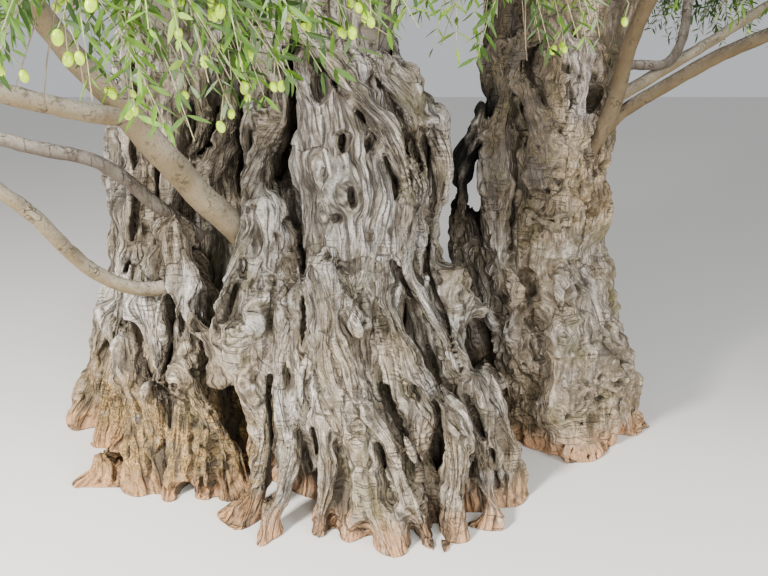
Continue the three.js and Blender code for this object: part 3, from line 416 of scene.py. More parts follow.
# Deep lines along the wood: the course of each across and up, its half width, its depth and how far back
# it reaches
GROOVES = {
    "pinch": (
        [
            (-0.17, 0.95), (-0.11, 0.985), (-0.05, 0.955), (0.01, 0.925), (0.06, 0.94), (0.11, 0.915),
            (0.15, 0.925), (0.21, 0.99),
        ],
        0.004, 0.014, -0.3,
    ),
    "between ridges": (
        [
            (0.16, 0.93), (0.22, 0.81), (0.27, 0.69), (0.29, 0.6), (0.34, 0.46), (0.39, 0.38), (0.44, 0.27),
            (0.45, 0.15),
        ],
        0.007, 0.03, -0.3,
    ),
    "beside stalk": (
        [
            (0.28, 0.93), (0.31, 0.79), (0.36, 0.68), (0.4, 0.56), (0.42, 0.46), (0.48, 0.32), (0.53, 0.23),
            (0.56, 0.06),
        ],
        0.007, 0.03, -0.25,
    ),
    "deep middle": (
        [(0.14, 0.49), (0.18, 0.37), (0.22, 0.26), (0.25, 0.2), (0.29, 0.09), (0.32, 0)], 0.008, 0.045,
        -0.5,
    ),
    "left of centre": (
        [
            (-0.19, 1.14), (-0.19, 1.01), (-0.16, 0.94), (-0.15, 0.8), (-0.16, 0.64), (-0.14, 0.49),
            (-0.12, 0.36), (-0.11, 0.2), (-0.13, 0.06),
        ],
        0.006, 0.035, -0.3,
    ),
    "between legs": ([(-0.28, 0.51), (-0.28, 0.38), (-0.28, 0.24), (-0.27, 0.13)], 0.008, 0.05, -0.4),
    "slot": ([(-0.41, 0.44), (-0.41, 0.32), (-0.41, 0.19)], 0.013, 0.12, -0.3),
    "panel crack": ([(-0.55, 0.29), (-0.56, 0.14), (-0.56, 0.03)], 0.005, 0.02, -0.4),
    "second panel crack": ([(-0.5, 0.25), (-0.51, 0.1), (-0.52, -0.01)], 0.005, 0.02, -0.4),
    "under the burr": ([(-0.69, 0.74), (-0.68, 0.58), (-0.7, 0.48)], 0.01, 0.04, -0.3),
    "apron edge": ([(-0.76, 0.46), (-0.72, 0.4), (-0.69, 0.37), (-0.69, 0.26)], 0.008, 0.03, -0.3),
    "left of crossing": (
        [
            (-0.12, 1.6), (-0.035, 1.52), (0.025, 1.45), (0.085, 1.37), (0.13, 1.29), (0.165, 1.2),
            (0.17, 1.1), (0.15, 1.0),
        ],
        0.005, 0.03, -0.3,
    ),
    "behind crossing": ([(0.1, 1.53), (0.175, 1.44), (0.23, 1.33), (0.262, 1.22)], 0.005, 0.028, -0.25),
    "beside knotted": (
        [(0.25, 1.43), (0.28, 1.32), (0.3, 1.2), (0.32, 1.08), (0.3, 0.97), (0.28, 0.86)], 0.005, 0.025,
        -0.2,
    ),
    "dark cleft": (
        [(-0.21, 1.62), (-0.19, 1.49), (-0.19, 1.39), (-0.21, 1.31), (-0.24, 1.24), (-0.28, 1.17)], 0.016,
        0.2, -0.1,
    ),
    "second cleft": ([(-0.4, 1.42), (-0.41, 1.34), (-0.41, 1.23), (-0.43, 1.1)], 0.012, 0.15, -0.1),
    "third cleft": ([(-0.51, 1.6), (-0.51, 1.42), (-0.54, 1.3), (-0.6, 1.25)], 0.01, 0.1, -0.05),
    "slab crack": ([(-0.6, 1.6), (-0.61, 1.42), (-0.63, 1.25)], 0.008, 0.07, -0.05),
    "slab edge": ([(-0.72, 1.62), (-0.735, 1.42), (-0.75, 1.22), (-0.77, 1.08)], 0.007, 0.05, -0.04),
    "outer edge": ([(-0.82, 1.6), (-0.845, 1.3), (-0.86, 1.05), (-0.9, 0.8)], 0.009, 0.06, 0.05),
    "stem cleft": (
        [(0.67, 1.6), (0.67, 1.41), (0.7, 1.32), (0.67, 1.22), (0.66, 1.06), (0.66, 0.85)], 0.005, 0.022,
        0.05,
    ),
    "lobe crack": ([(0.86, 1.58), (0.87, 1.45), (0.82, 1.33)], 0.005, 0.02, 0.05),
}
# Knots that the grain flows round: middle of the face and radius
KNOTS = (
    ((-0.16, -0.66, 0.81), 0.05), ((0.065, -0.7, 0.75), 0.052), ((-0.07, -0.6, 1.11), 0.032),
    ((0.41, -0.52, 0.77), 0.085), ((-0.635, -0.6, 0.466), 0.05), ((0.78, -0.28, 0.62), 0.055),
    ((0.87, -0.3, 0.535), 0.075), ((0.0, -0.55, 1.343), 0.03), ((0.096, -0.53, 1.33), 0.028),
    ((-0.3, -0.64, 0.767), 0.07), ((-0.15, -0.68, 0.65), 0.04), ((0.76, -0.18, 0.945), 0.04),
    ((0.75, -0.14, 1.26), 0.04), ((0.85, -0.2, 0.78), 0.05), ((-0.06, -0.76, 0.48), 0.045),
    ((0.186, -0.76, 0.4), 0.04), ((0.03, -0.82, 0.32), 0.05), ((-0.5, -0.3, 1.35), 0.04),
    ((-0.31, -0.36, 1.39), 0.035), ((0.75, -0.18, 1.38), 0.045), ((1.08, -0.28, 0.36), 0.07),
    ((0.93, -0.36, 0.28), 0.06), ((-0.33, -0.68, 0.52), 0.055), ((-0.4, -0.62, 0.68), 0.04),
    ((0.3, -0.7, 0.3), 0.04), ((0.33, -0.4, 1.22), 0.04), ((-0.09, -0.55, 1.25), 0.03),
    ((0.02, -0.62, 1.16), 0.035),
)

# The limbs: what each leaves, its path from inside that wood to its tip, and its radius at both ends
LIMBS = {
    "bough_left_stout": (
        "trunk", [(-0.4, -0.33, 0.95), (-0.54, -0.47, 1.16), (-0.685, -0.73, 1.47)], (0.052, 0.046),
    ),
    "bough_left_stout_outer": (
        "bough_left_stout",
        [(-0.665, -0.69, 1.43), (-0.77, -0.92, 1.47), (-0.99, -1.05, 1.56), (-1.42, -1.32, 1.86)],
        (0.03, 0.022),
    ),
    "bough_left_stout_upper": (
        "bough_left_stout", [(-0.67, -0.7, 1.44), (-0.8, -0.97, 1.74), (-0.78, -1.32, 2.06)],
        (0.038, 0.026),
    ),
    "bough_left_grey": (
        "trunk",
        [
            (-0.6, -0.24, 0.93), (-0.73, -0.36, 1.09), (-0.865, -0.5, 1.26), (-1.1, -0.6, 1.34),
            (-1.45, -0.55, 1.42), (-1.95, -0.3, 1.75),
        ],
        (0.027, 0.019),
    ),
    "bough_left_low": (
        "trunk",
        [
            (-0.64, -0.36, 0.78), (-0.77, -0.47, 0.79), (-0.895, -0.585, 0.89), (-0.985, -0.75, 1.12),
            (-1.2, -0.9, 1.38), (-1.7, -1.02, 1.66),
        ],
        (0.027, 0.02),
    ),
    "bough_right_upright": (
        "stem", [(0.98, 0.0, 1.2), (1.05, -0.05, 1.42), (1.085, -0.12, 1.7), (1.3, -0.5, 2.42)],
        (0.033, 0.025),
    ),
    "bough_right_long": (
        "stem",
        [
            (0.96, 0.02, 1.22), (1.1, -0.03, 1.4), (1.32, -0.12, 1.56), (1.5, -0.2, 1.665),
            (2.06, -0.3, 1.9),
        ],
        (0.028, 0.022),
    ),
    "bough_right_thin": (
        "stem",
        [(1.0, 0.22, 1.56), (1.2, 0.2, 1.58), (1.35, 0.21, 1.59), (1.405, 0.23, 1.7), (1.5, 0.5, 2.3)],
        (0.022, 0.018),
    ),
    "bough_right_pale": (
        "stem",
        [(0.97, 0.2, 1.36), (1.22, 0.23, 1.485), (1.42, 0.27, 1.6), (1.6, 0.31, 1.7), (2.16, 0.34, 2.05)],
        (0.028, 0.018),
    ),
    "limb_centre": ("trunk", [(-0.05, -0.2, 1.6), (-0.1, -0.12, 2.3), (-0.15, -0.2, 3.2)], (0.145, 0.07)),
    "limb_left": ("trunk", [(-0.68, 0.02, 1.5), (-1.0, 0.12, 2.2), (-1.45, 0.25, 2.7)], (0.14, 0.06)),
    "limb_back_left": (
        "trunk", [(-0.46, 0.28, 1.45), (-0.7, 0.75, 2.15), (-1.0, 1.4, 2.75)], (0.13, 0.055),
    ),
    "limb_back": ("trunk", [(0.0, 0.28, 1.4), (0.15, 0.85, 2.15), (0.32, 1.55, 2.8)], (0.13, 0.055)),
    "limb_front": ("trunk", [(0.02, -0.08, 1.5), (0.2, -0.5, 2.2), (0.52, -1.2, 2.7)], (0.1, 0.045)),
    "limb_front_left": (
        "trunk", [(-0.5, -0.06, 1.5), (-0.78, -0.6, 2.2), (-1.1, -1.05, 2.85)], (0.11, 0.045),
    ),
    "limb_stem_top": ("stem", [(0.99, 0.27, 1.75), (1.12, 0.38, 2.4), (1.22, 0.55, 3.05)], (0.14, 0.055)),
    "limb_stem_back": ("stem", [(0.92, 0.28, 1.3), (1.3, 0.75, 2.0), (1.8, 1.32, 2.65)], (0.1, 0.045)),
}
# Masses that hang low round the crown's skirt: the limb, the middle, the reach and how many olives
LOW_MASSES = {
    "foliage_front_hanging": ("bough_left_stout_upper", (-0.34, -1.74, 1.87), (0.64, 0.42, 0.42), 150),
    "foliage_front_left": ("bough_left_stout_outer", (-1.36, -1.7, 1.98), (0.5, 0.48, 0.45), 40),
    "foliage_left_low": ("bough_left_low", (-2.12, -1.14, 1.92), (0.52, 0.52, 0.5), 25),
    "foliage_left": ("bough_left_grey", (-2.4, -0.08, 2.1), (0.6, 0.6, 0.55), 20),
    "foliage_middle_hanging": ("limb_front", (0.4, -1.3, 1.98), (0.4, 0.36, 0.42), 30),
    "foliage_right_low": ("bough_right_long", (2.36, -0.42, 2.06), (0.58, 0.58, 0.5), 20),
    "foliage_right_front": ("bough_right_upright", (1.3, -0.98, 2.08), (0.55, 0.5, 0.5), 20),
    "foliage_right_inner": ("bough_right_thin", (1.66, 0.66, 2.06), (0.46, 0.42, 0.42), 15),
}
CROWN_SPREAD = 6.1
MASS_REACH = 0.72
MASS_FLATNESS = 0.82
# Rings of masses that close the crown: how many, how far out, how high and turned by how many degrees
CROWN_TIERS = {
    "skirt": (9, CROWN_SPREAD / 2 - MASS_REACH, 2.85, 0),
    "shoulder": (6, 1.42, 3.7, 20),
    "top": (3, 0.66, 4.45, 50),
}
RING_OLIVES = 8


# Smooth random values over space

DOMAIN_LOW = np.array((-1.9, -1.6, -0.4))
DOMAIN_HIGH = np.array((1.9, 1.5, 3.0))
SPREAD_OF_VALUES = 3  # brings the smoothed values back to a spread of about 1


def spline_weights(coords, spacing, first, count):
    """How much each coordinate takes from each point of an even row, for a smooth curve through them."""
    place = (coords - first) / spacing
    start = np.floor(place).astype(int)
    part = place - start
    weights = np.zeros((len(coords), count), np.float32)
    rows = np.arange(len(coords))
    second, third = 3 * part**3 - 6 * part**2 + 4, -3 * part**3 + 3 * part**2 + 3 * part + 1
    for step, share in enumerate(((1 - part) ** 3, second, third, part**3)):
        weights[rows, start + step] = share / 6
    return weights


def smooth_field(axes, scale, seed):
    """Smooth random values on a block of space. A seed gives the same values there on any grid."""
    counts = [int(math.ceil((DOMAIN_HIGH[a] - DOMAIN_LOW[a]) / scale[a])) + 4 for a in range(3)]
    knots = np.random.default_rng(seed).normal(size=counts).astype(np.float32)
    weights = [spline_weights(axes[a], scale[a], DOMAIN_LOW[a], counts[a]) for a in range(3)]
    values = np.tensordot(weights[0], knots, (1, 0))
    values = np.tensordot(values, weights[1], (1, 1))
    values = np.tensordot(values, weights[2], (1, 1))
    return values * SPREAD_OF_VALUES


NOISE_PERIOD = 32
NOISE_SEED = 5
slopes = np.random.default_rng(NOISE_SEED).normal(size=(NOISE_PERIOD,) * 3 + (3,)).astype(np.float32)
slopes /= np.linalg.norm(slopes, axis=3, keepdims=True)


def noise_at(points):
    """Gradient noise at any points, from about -1 to 1."""
    base = np.floor(points).astype(int)
    part = (points - base).astype(np.float32)
    fade = part**3 * (part * (part * 6 - 15) + 10)
    total = np.zeros(len(points), np.float32)
    for corner in np.ndindex(2, 2, 2):
        cell = (base + corner) % NOISE_PERIOD
        slope = slopes[cell[:, 0], cell[:, 1], cell[:, 2]]
        share = np.prod(np.where(corner, fade, 1 - fade), axis=1)
        total += share * ((part - corner) * slope).sum(1)
    return total * 1.7


# The wood as a field: negative inside, positive outside

def smooth_min(a, b, softness):
    near = np.abs(a - b)
    np.subtract(softness, near, out=near)
    np.maximum(near, 0, out=near)
    near *= near
    near *= 1 / (4 * softness)
    return np.minimum(a, b) - near


def smooth_max(a, b, softness):
    return -smooth_min(-a, -b, softness)


def core_rope(foot, waist, head, radii):
    return [(*foot, 0.0, radii[0]), (*waist, radii[1]), (*head, radii[2])]


def back_rope(bearing):
    turn = math.radians(bearing)
    x, y = BACK_MIDDLE
    return [
        (x + spread[0] * math.cos(turn), y + spread[1] * math.sin(turn), height, radius)
        for spread, height, radius in zip(BACK_SPREAD, BACK_HEIGHTS, BACK_RADII)
    ]


class Rope:
    """A strand of wood: the piece it belongs to and the course of its middle line."""

    def __init__(self, piece, points):
        self.piece = piece
        self.points = np.array(points)
        self.heights = self.points[:, 2]
        self.slopes = np.gradient(self.points, self.heights, axis=0)
        self.mean_radius = self.points[:, 3].mean()

    def course(self, z):
        """Middle line's x and y, and the radius, at each height."""
        z = np.clip(z, self.heights[0], self.heights[-1])
        i = np.clip(np.searchsorted(self.heights, z) - 1, 0, len(self.heights) - 2)
        span = self.heights[i + 1] - self.heights[i]
        t = ((z - self.heights[i]) / span)[:, None]
        start, end = self.points[i], self.points[i + 1]
        lean_in, lean_out = self.slopes[i] * span[:, None], self.slopes[i + 1] * span[:, None]
        value = start * (2 * t**3 - 3 * t**2 + 1) + lean_in * (t**3 - 2 * t**2 + t)
        value += end * (3 * t**2 - 2 * t**3) + lean_out * (t**3 - t**2)
        flare = 1 + FOOT_FLARE * np.exp(-np.maximum(z, 0) / FLARE_HEIGHT)
        return value[:, 0], value[:, 1], value[:, 3] * flare + ROPE_SWELL

    def beyond(self, z):
        """How far each height is past the rope's ends. A rope on the ground runs on below it."""
        below = np.maximum(self.heights[0] - z, 0) if self.heights[0] > ON_GROUND else 0 * z
        return np.maximum(z - self.heights[-1], 0) + below

    def box(self):
        reach = self.points[:, 3].max() * (1 + FOOT_FLARE) + ROPE_MARGIN
        return self.points[:, :3].min(0) - reach, self.points[:, :3].max(0) + reach


ropes = [Rope(piece, points) for piece, strands in ROPES.items() for points in strands.values()]
ropes += [Rope("trunk_back_bark", core_rope(*values)) for values in CORE_ROPES]
ropes += [Rope("trunk_back_bark", back_rope(bearing)) for bearing in BACK_BEARINGS]


def limb_rope(path, radii):
    """The old wood runs some way up a limb, and thins out over it."""
    points = [(*place, radii[0] * size) for place, size in zip(path[:2], SLEEVE)]
    x, y, z, _ = points[0]
    return [(x, y, z - SLEEVE_DEPTH, radii[0]), *points]


for name, (wood, path, radii) in LIMBS.items():
    if radii[0] > OLD_LIMB_RADIUS:
        head = "trunk_head_bark" if wood == "trunk" else "stem_head_bark"
        ropes.append(Rope(head, limb_rope(path, radii)))


def grid_over(piece, cell):
    """Evenly spaced points along X, Y and Z over the ropes of one piece."""
    boxes = [rope.box() for rope in ropes if rope.piece == piece]
    low = np.min([box[0] for box in boxes], axis=0)
    high = np.max([box[1] for box in boxes], axis=0)
    low[2] = max(low[2], -2 * cell)
    low = np.floor(low / cell) * cell
    return [np.arange(low[a], high[a] + cell, cell).astype(np.float32) for a in range(3)]


def part_of(axes, low, high):
    """The stretch of each axis that lies between two corners."""
    return tuple(slice(*np.searchsorted(axes[a], (low[a], high[a]))) for a in range(3))


def cut_grooves(axes, wood):
    """Deep lines that open and close along their courses, and follow the face of the wood."""
    across, up = axes[0][:, None], axes[2][None, :]
    spots = np.broadcast_arrays(across / GROOVE_SWAY_SCALE[0], GROOVE_SLICE, up / GROOVE_SWAY_SCALE[1])
    spots = np.stack(spots, axis=-1)
    sway = GROOVE_SWAY * noise_at(spots.reshape(-1, 3)).reshape(len(axes[0]), len(axes[2]))
    for course, half_width, depth, rear in GROOVES.values():
        if half_width < NARROWEST * (axes[0][1] - axes[0][0]):
            continue
        away = np.full(sway.shape, FAR_AWAY, np.float32)
        for (x0, z0), (x1, z1) in zip(course, course[1:]):
            share = ((across - x0) * (x1 - x0) + (up - z0) * (z1 - z0)) / ((x1 - x0) ** 2 + (z1 - z0) ** 2)
            share = np.clip(share, 0, 1)
            away = np.minimum(away, np.hypot(across - x0 - share * (x1 - x0), up - z0 - share * (z1 - z0)))
        away = (away + sway).astype(np.float32)
        columns = np.flatnonzero((away < half_width + GROOVE_EDGE).any(1))
        if len(columns):
            near, front = slice(columns[0], columns[-1] + 1), slice(0, int(np.searchsorted(axes[1], rear)))
            cut = np.minimum((half_width - away[near])[:, None, :], wood[near, front] + depth)
            wood[near, front] = smooth_max(wood[near, front], cut, GROOVE_EDGE)


def wood_field(piece, cell):
    """The field of one piece of the wood, worn and fused with its neighbours, and cut at its seams."""
    axes = grid_over(piece, cell)
    x = axes[0][:, None, None] + WANDER * smooth_field(axes, WANDER_SCALE, WANDER_SEEDS[0])
    x += TWIST * smooth_field(axes, TWIST_SCALE, TWIST_SEEDS[0])
    y = axes[1][None, :, None] + WANDER * smooth_field(axes, WANDER_SCALE, WANDER_SEEDS[1])
    y += TWIST * smooth_field(axes, TWIST_SCALE, TWIST_SEEDS[1])
    fields = {mine: np.full(x.shape, FAR_FROM_WOOD, np.float32) for mine in (True, False)}
    for rope in ropes:
        where = part_of(axes, *rope.box())
        z = axes[2][where[2]]
        middle_x, middle_y, radius = (values.astype(np.float32) for values in rope.course(z))
        distance = (x[where] - middle_x) ** 2
        distance += (y[where] - middle_y) ** 2
        distance += rope.beyond(z).astype(np.float32) ** 2
        np.sqrt(distance, out=distance)
        distance -= radius
        field = fields[rope.piece == piece]
        field[where] = smooth_min(field[where], distance, FUSE)
    own, other = fields[True], fields[False]
    for middle, radius in BURLS:
        low, high = np.array(middle) - radius, np.array(middle) + radius
        where = part_of(axes, low - BURL_MARGIN, high + BURL_MARGIN)
        offsets = (x[where] - middle[0], y[where] - middle[1], axes[2][where[2]] - middle[2])
        distance = np.sqrt(sum(offset**2 for offset in offsets)) - radius
        at_middle = np.array([middle])
        field = own if read_field(axes, own, at_middle) <= read_field(axes, other, at_middle) else other
        field[where] = smooth_min(field[where], distance, BURL_FUSE)
    wood = smooth_min(own, other, FUSE)
    lumps, folds = smooth_field(axes, LUMP_SCALE, LUMP_SEED), smooth_field(axes, FOLD_SCALE, FOLD_SEED)
    wood += LUMP * lumps + FOLD * folds
    for middle, sizes in HOLLOWS:
        low, high = np.array(middle) - sizes, np.array(middle) + sizes
        where = part_of(axes, low - HOLLOW_MARGIN, high + HOLLOW_MARGIN)
        offsets = (x[where] - middle[0], y[where] - middle[1], axes[2][where[2]] - middle[2])
        spread = np.sqrt(sum((offset / size) ** 2 for offset, size in zip(offsets, sizes)))
        distance = (spread - 1) * min(sizes)
        wood[where] = smooth_max(wood[where], -distance, HOLLOW_EDGE)
    cut_grooves(axes, wood)
    seam = (own - other) / 2 - SEAM_OVERLAP
    ground = -axes[2][None, None, :]
    return axes, np.maximum(np.maximum(wood, seam), ground), wood, seam


# Skins over fields

CELL_CORNERS = np.array(list(np.ndindex(2, 2, 2)))
CELL_EDGES = [(a, b) for a in range(8) for b in range(a + 1, 8)
              if np.abs(CELL_CORNERS[a] - CELL_CORNERS[b]).sum() == 1]


def skin(axes, field):
    """The surface where a field crosses zero: its corners and its four-sided faces, pointing out."""
    inside = field < 0
    size = np.array(field.shape)
    count = np.zeros(size - 1, np.int8)
    for dx, dy, dz in CELL_CORNERS:
        count += inside[dx:size[0] - 1 + dx, dy:size[1] - 1 + dy, dz:size[2] - 1 + dz]
    mixed = (count > 0) & (count < 8)
    cells = np.argwhere(mixed)
    number = np.full(mixed.shape, -1, np.int64)
    number[mixed] = np.arange(len(cells))
    values = [field[tuple((cells + corner).T)] for corner in CELL_CORNERS]
    total = np.zeros((len(cells), 3))
    hits = np.zeros(len(cells))
    for a, b in CELL_EDGES:
        crossing = (values[a] < 0) != (values[b] < 0)
        share = values[a][crossing] / (values[a][crossing] - values[b][crossing])
        total[crossing] += CELL_CORNERS[a] + share[:, None] * (CELL_CORNERS[b] - CELL_CORNERS[a])
        hits[crossing] += 1
    cell = axes[0][1] - axes[0][0]
    low = np.array([axis[0] for axis in axes])
    corners = low + cell * (cells + total / hits[:, None])
    faces = []
    for axis in range(3):
        side, up = (axis + 1) % 3, (axis + 2) % 3
        first = np.take(inside, np.arange(size[axis] - 1), axis)
        second = np.take(inside, np.arange(1, size[axis]), axis)
        places = np.argwhere(first != second)
        within = (places[:, side] > 0) & (places[:, up] > 0)
        within &= (places[:, side] < size[side] - 1) & (places[:, up] < size[up] - 1)
        places = places[within]
        around = []
        for step_side, step_up in ((-1, -1), (0, -1), (0, 0), (-1, 0)):
            moved = places.copy()
            moved[:, side] += step_side
            moved[:, up] += step_up
            around.append(number[tuple(moved.T)])
        quads = np.stack(around, axis=1)
        outward = first[tuple(places.T)]
        quads[~outward] = quads[~outward][:, ::-1]
        faces.append(quads)
    return corners, np.concatenate(faces)


def without_crumbs(corners, faces):
    """Leaves out the small skins of scraps cut loose by the hollows."""
    label = np.arange(len(corners))
    while True:
        lowest = label[faces].min(1)
        before = label.copy()
        for k in range(4):
            np.minimum.at(label, faces[:, k], lowest)
        label = label[label]
        if np.array_equal(before, label):
            break
    kept = np.bincount(label)[label] > CRUMB_CORNERS
    number = np.cumsum(kept) - 1
    return corners[kept], number[faces[kept[faces[:, 0]]]]


def normals_of(corners, faces):
    """A unit vector out of the surface at each corner."""
    a, b, c, d = (corners[faces[:, k]] for k in range(4))
    face_normals = np.cross(c - a, d - b)
    total = np.zeros_like(corners)
    for k in range(4):
        for axis in range(3):
            total[:, axis] += np.bincount(faces[:, k], face_normals[:, axis], len(corners))
    return total / np.maximum(np.linalg.norm(total, axis=1, keepdims=True), 1e-12)


def read_field(axes, field, points):
    """The field's values at any points."""
    cell = axes[0][1] - axes[0][0]
    place = (points - np.array([axis[0] for axis in axes])) / cell
    place = np.clip(place, 0, np.array(field.shape) - 1.001)
    base = place.astype(int)
    part = place - base
    total = np.zeros(len(points))
    for corner in CELL_CORNERS:
        share = np.prod(np.where(corner, part, 1 - part), axis=1)
        total += share * field[tuple((base + corner).T)]
    return total


def openness(axes, wood, corners, normals):
    """How freely each corner sees out of the wood round it: 1 on a ridge, 0 deep in a cleft."""
    total = np.zeros(len(corners))
    for reach in SKY_REACHES:
        total += np.clip(read_field(axes, wood, corners + normals * reach) / reach, 0, 1)
    return total / len(SKY_REACHES)


# Furrows, knots and pits in the skin

# Each use of the noise reads it somewhere else, so that no two of them follow each other
SHIFT = {
    "fray": 2.3, "strand": 1.7, "knot": 41, "strength": 3.1, "waver": 5.1, "furrow": 11.7, "crease": 5.9,
    "first crease": 7.3, "creasing": 53, "ring": 67, "fine ring": 71, "pit": 31, "pitting": 13, "lump": 17,
    "lumping": 23, "limb": 3.3,
}
# How deep a furrow is along its course
MEAN_STRENGTH, STRENGTH_SPREAD, LEAST_STRENGTH, STRENGTH_STRETCH = 0.75, 0.7, 0.1, 0.37
RIDGE_WIDTH, RIDGE_START = 0.45, 0.3
FRAY_SCALE = 0.05
LEAST_STRAND = 0.07  # the grain goes round a thin strand as if it had this radius
KNOT_SHAPE = (1, 0.6, 0.75)  # how fast a knot ends across, in depth and up
KNOT_SCALE, KNOT_UNEVENNESS = 0.06, 0.35
KNOT_PUSH, KNOT_PUSH_REACH, KNOT_REACH = 0.75, 3, 1.25
RINGS_PER_KNOT, RING_SHADE = 3, 0.5
KNOT_CALM = 0.8  # how much of the furrows a knot smooths away
RING_DEPTH, KNOT_HEIGHT, EYE_DEPTH = 0.0045, 0.009, 0.01
EYE_START = 0.75  # where the eye of a knot begins, for 1 at its middle
CREASING_SCALE, MEAN_CREASING, LEAST_CREASING = 0.26, 0.65, 0.15
SWELL_OF_RIDGE = 0.25  # how high the wood between two creases stands, for their depth
# How much the collars' rings waver, and over which distance
COLLAR_WAVER = ((0.9, 0.06, "ring"), (0.4, 0.02, "fine ring"))
COLLAR_SHADE = 0.55
PIT_SCALE, PITTING_SCALE = (0.03, 0.03, 0.045), 0.22
PIT_START, PIT_EDGE = 0.42, 0.25
LUMPINESS, LUMPINESS_SCALE, LUMPING_SCALE = 0.03, 0.05, 0.21
FLAT_FOOT = 0.02  # the relief dies away over this height above the ground


def grain_of(corners, piece):
    """Coordinates in which the grain runs straight: round each corner's own rope, and up along it."""
    best = np.full(len(corners), FAR_AWAY)
    grain = np.zeros((len(corners), 3))
    own = [(i, rope) for i, rope in enumerate(ropes) if rope.piece == piece]
    for i, rope in own:
        middle_x, middle_y, radius = rope.course(corners[:, 2])
        across = np.stack((corners[:, 0] - middle_x, corners[:, 1] - middle_y), axis=1)
        away = np.linalg.norm(across, axis=1)
        distance = np.hypot(away, rope.beyond(corners[:, 2])) - radius
        distance += GRAIN_FRAY * noise_at(corners / FRAY_SCALE + SHIFT["fray"] * i)
        nearer = distance < best
        best = np.where(nearer, distance, best)
        around = across / np.maximum(away, 1e-6)[:, None] * max(rope.mean_radius, LEAST_STRAND)
        strand = np.column_stack((around, corners[:, 2] + SHIFT["strand"] * i))
        grain[nearer] = strand[nearer]
    return grain


def flow_round_knots(grain, corners):
    """Bends the grain round each knot, and gives each corner its place within a knot, 1 at the middle."""
    grain = grain.copy()
    within = np.zeros(len(corners))
    uneven = noise_at(corners / KNOT_SCALE + SHIFT["knot"])
    for middle, radius in KNOTS:
        offset = corners - np.array(middle)
        away = np.linalg.norm(offset * KNOT_SHAPE, axis=1) * (1 + KNOT_UNEVENNESS * uneven) + 1e-6
        push = KNOT_PUSH * np.clip(radius**2 / away**2, 0, 1) * np.exp(-away / (KNOT_PUSH_REACH * radius))
        grain[:, :2] -= offset[:, :2] * push[:, None]
        within = np.maximum(within, 1 - away / (KNOT_REACH * radius))
    return grain, np.clip(within, 0, 1)


def furrow(grain, spacing, stretch, width, turn):
    """Thin valleys between rounded ridges, long up the grain: 1 at the bottom of each. And the crests."""
    points = grain / (spacing, spacing, spacing * stretch) + turn
    across = noise_at(points)
    strength = MEAN_STRENGTH + STRENGTH_SPREAD * noise_at(points * STRENGTH_STRETCH + SHIFT["strength"])
    crest = np.clip(np.abs(across) / RIDGE_WIDTH - RIDGE_START, 0, 1)
    return np.exp(-((across / width) ** 2)) * np.clip(strength, LEAST_STRENGTH, 1), crest


def bark_relief(corners, normals, open_sky, calm, piece):
    """Sinks the skin along furrows, rings it at knots and pits it. Also gives each corner's painted shade,
    dark in furrows, creases, rings and pits and where the wood closes round it, and how high it sits on a
    crest, for the painted highlight.
    """
    *_, furrowing, pitting = WOOD[piece]
    grain, knot = flow_round_knots(grain_of(corners, piece), corners)
    waver = np.column_stack([noise_at(corners / WAVER_SCALE + SHIFT["waver"] * k) for k in range(2)])
    grain[:, :2] += FURROW_WAVER * waver
    sink = np.zeros(len(corners))
    # lit: how much of its brightness each corner's colour keeps; furrows, creases, rings and pits paint
    # shade into it
    lit = np.ones(len(corners))
    crest = np.zeros(len(corners))
    for level, (spacing, stretch, depth, width, valley_shade) in enumerate(FURROWS):
        valley, ridge = furrow(grain, spacing, stretch, width, SHIFT["furrow"] * level)
        valley *= 1 - KNOT_CALM * np.clip(knot * 4, 0, 1)
        sink += furrowing * depth * valley
        lit *= 1 - valley_shade * valley * min(1, furrowing + 0.2)
        crest += ridge / len(FURROWS)
    creasing = noise_at(corners / CREASING_SCALE + SHIFT["creasing"])
    creased = pitting * np.clip(creasing * 1.6 + MEAN_CREASING, LEAST_CREASING, 1)
    for level, (spacing, stretch, depth, width, valley_shade) in enumerate(CREASES):
        turn = SHIFT["first crease"] + SHIFT["crease"] * level
        valley, ridge = furrow(grain, spacing, stretch, width, turn)
        sink += creased * depth * (valley - SWELL_OF_RIDGE * ridge)
        lit *= 1 - valley_shade * valley * np.minimum(creased, 1)
    for middle, sizes, depth in RINGED:
        away = np.linalg.norm((corners - np.array(middle)) / sizes, axis=1)
        within = np.clip(2.5 * (1 - away), 0, 1)
        turns = corners[:, 2] / RING_SPACING
        for share, scale, use in COLLAR_WAVER:
            turns = turns + share * noise_at(corners / scale + SHIFT[use])
        collars = within * np.clip(np.cos(turns * 2 * math.pi) * 1.4 - 0.2, 0, 1)
        sink += depth * collars
        lit *= 1 - COLLAR_SHADE * collars
    rings = (0.5 - 0.5 * np.cos(knot * 2 * math.pi * RINGS_PER_KNOT)) * (knot > 0)
    eye = np.clip((knot - EYE_START) / (1 - EYE_START), 0, 1)
    sink += RING_DEPTH * rings - KNOT_HEIGHT * np.sin(knot * math.pi) ** 2 + EYE_DEPTH * eye
    lit *= 1 - RING_SHADE * rings
    spots = noise_at(corners / PIT_SCALE + SHIFT["pit"])
    patches = np.clip(noise_at(corners / PITTING_SCALE + SHIFT["pitting"]) * 2 + 0.4, 0, 1)
    pits = np.clip((spots - PIT_START) / PIT_EDGE, 0, 1) * patches * pitting
    sink += PIT_DEPTH * pits
    lumps = noise_at(corners / LUMPINESS_SCALE + SHIFT["lump"])
    lumps = lumps * noise_at(corners / LUMPING_SCALE + SHIFT["lumping"])
    sink -= LUMPINESS * pitting * lumps
    # Painted shade at the bottom of the pits
    lit *= 1 - np.clip(pits, 0, 1)
    calm = calm * np.clip(corners[:, 2] / FLAT_FOOT, 0, 1) * np.clip(open_sky * 3, 0.2, 1)
    moved = corners - normals * (sink * calm)[:, None]
    moved[:, 2] = np.maximum(moved[:, 2], 0)
    # Painted shade: the darkness of the valleys and pits, deeper where the wood closes round the corner
    shade = np.clip(1 - lit * np.clip(open_sky * 1.5, 0, 1), 0, 1)
    return moved, shade, crest, grain


# Pieces

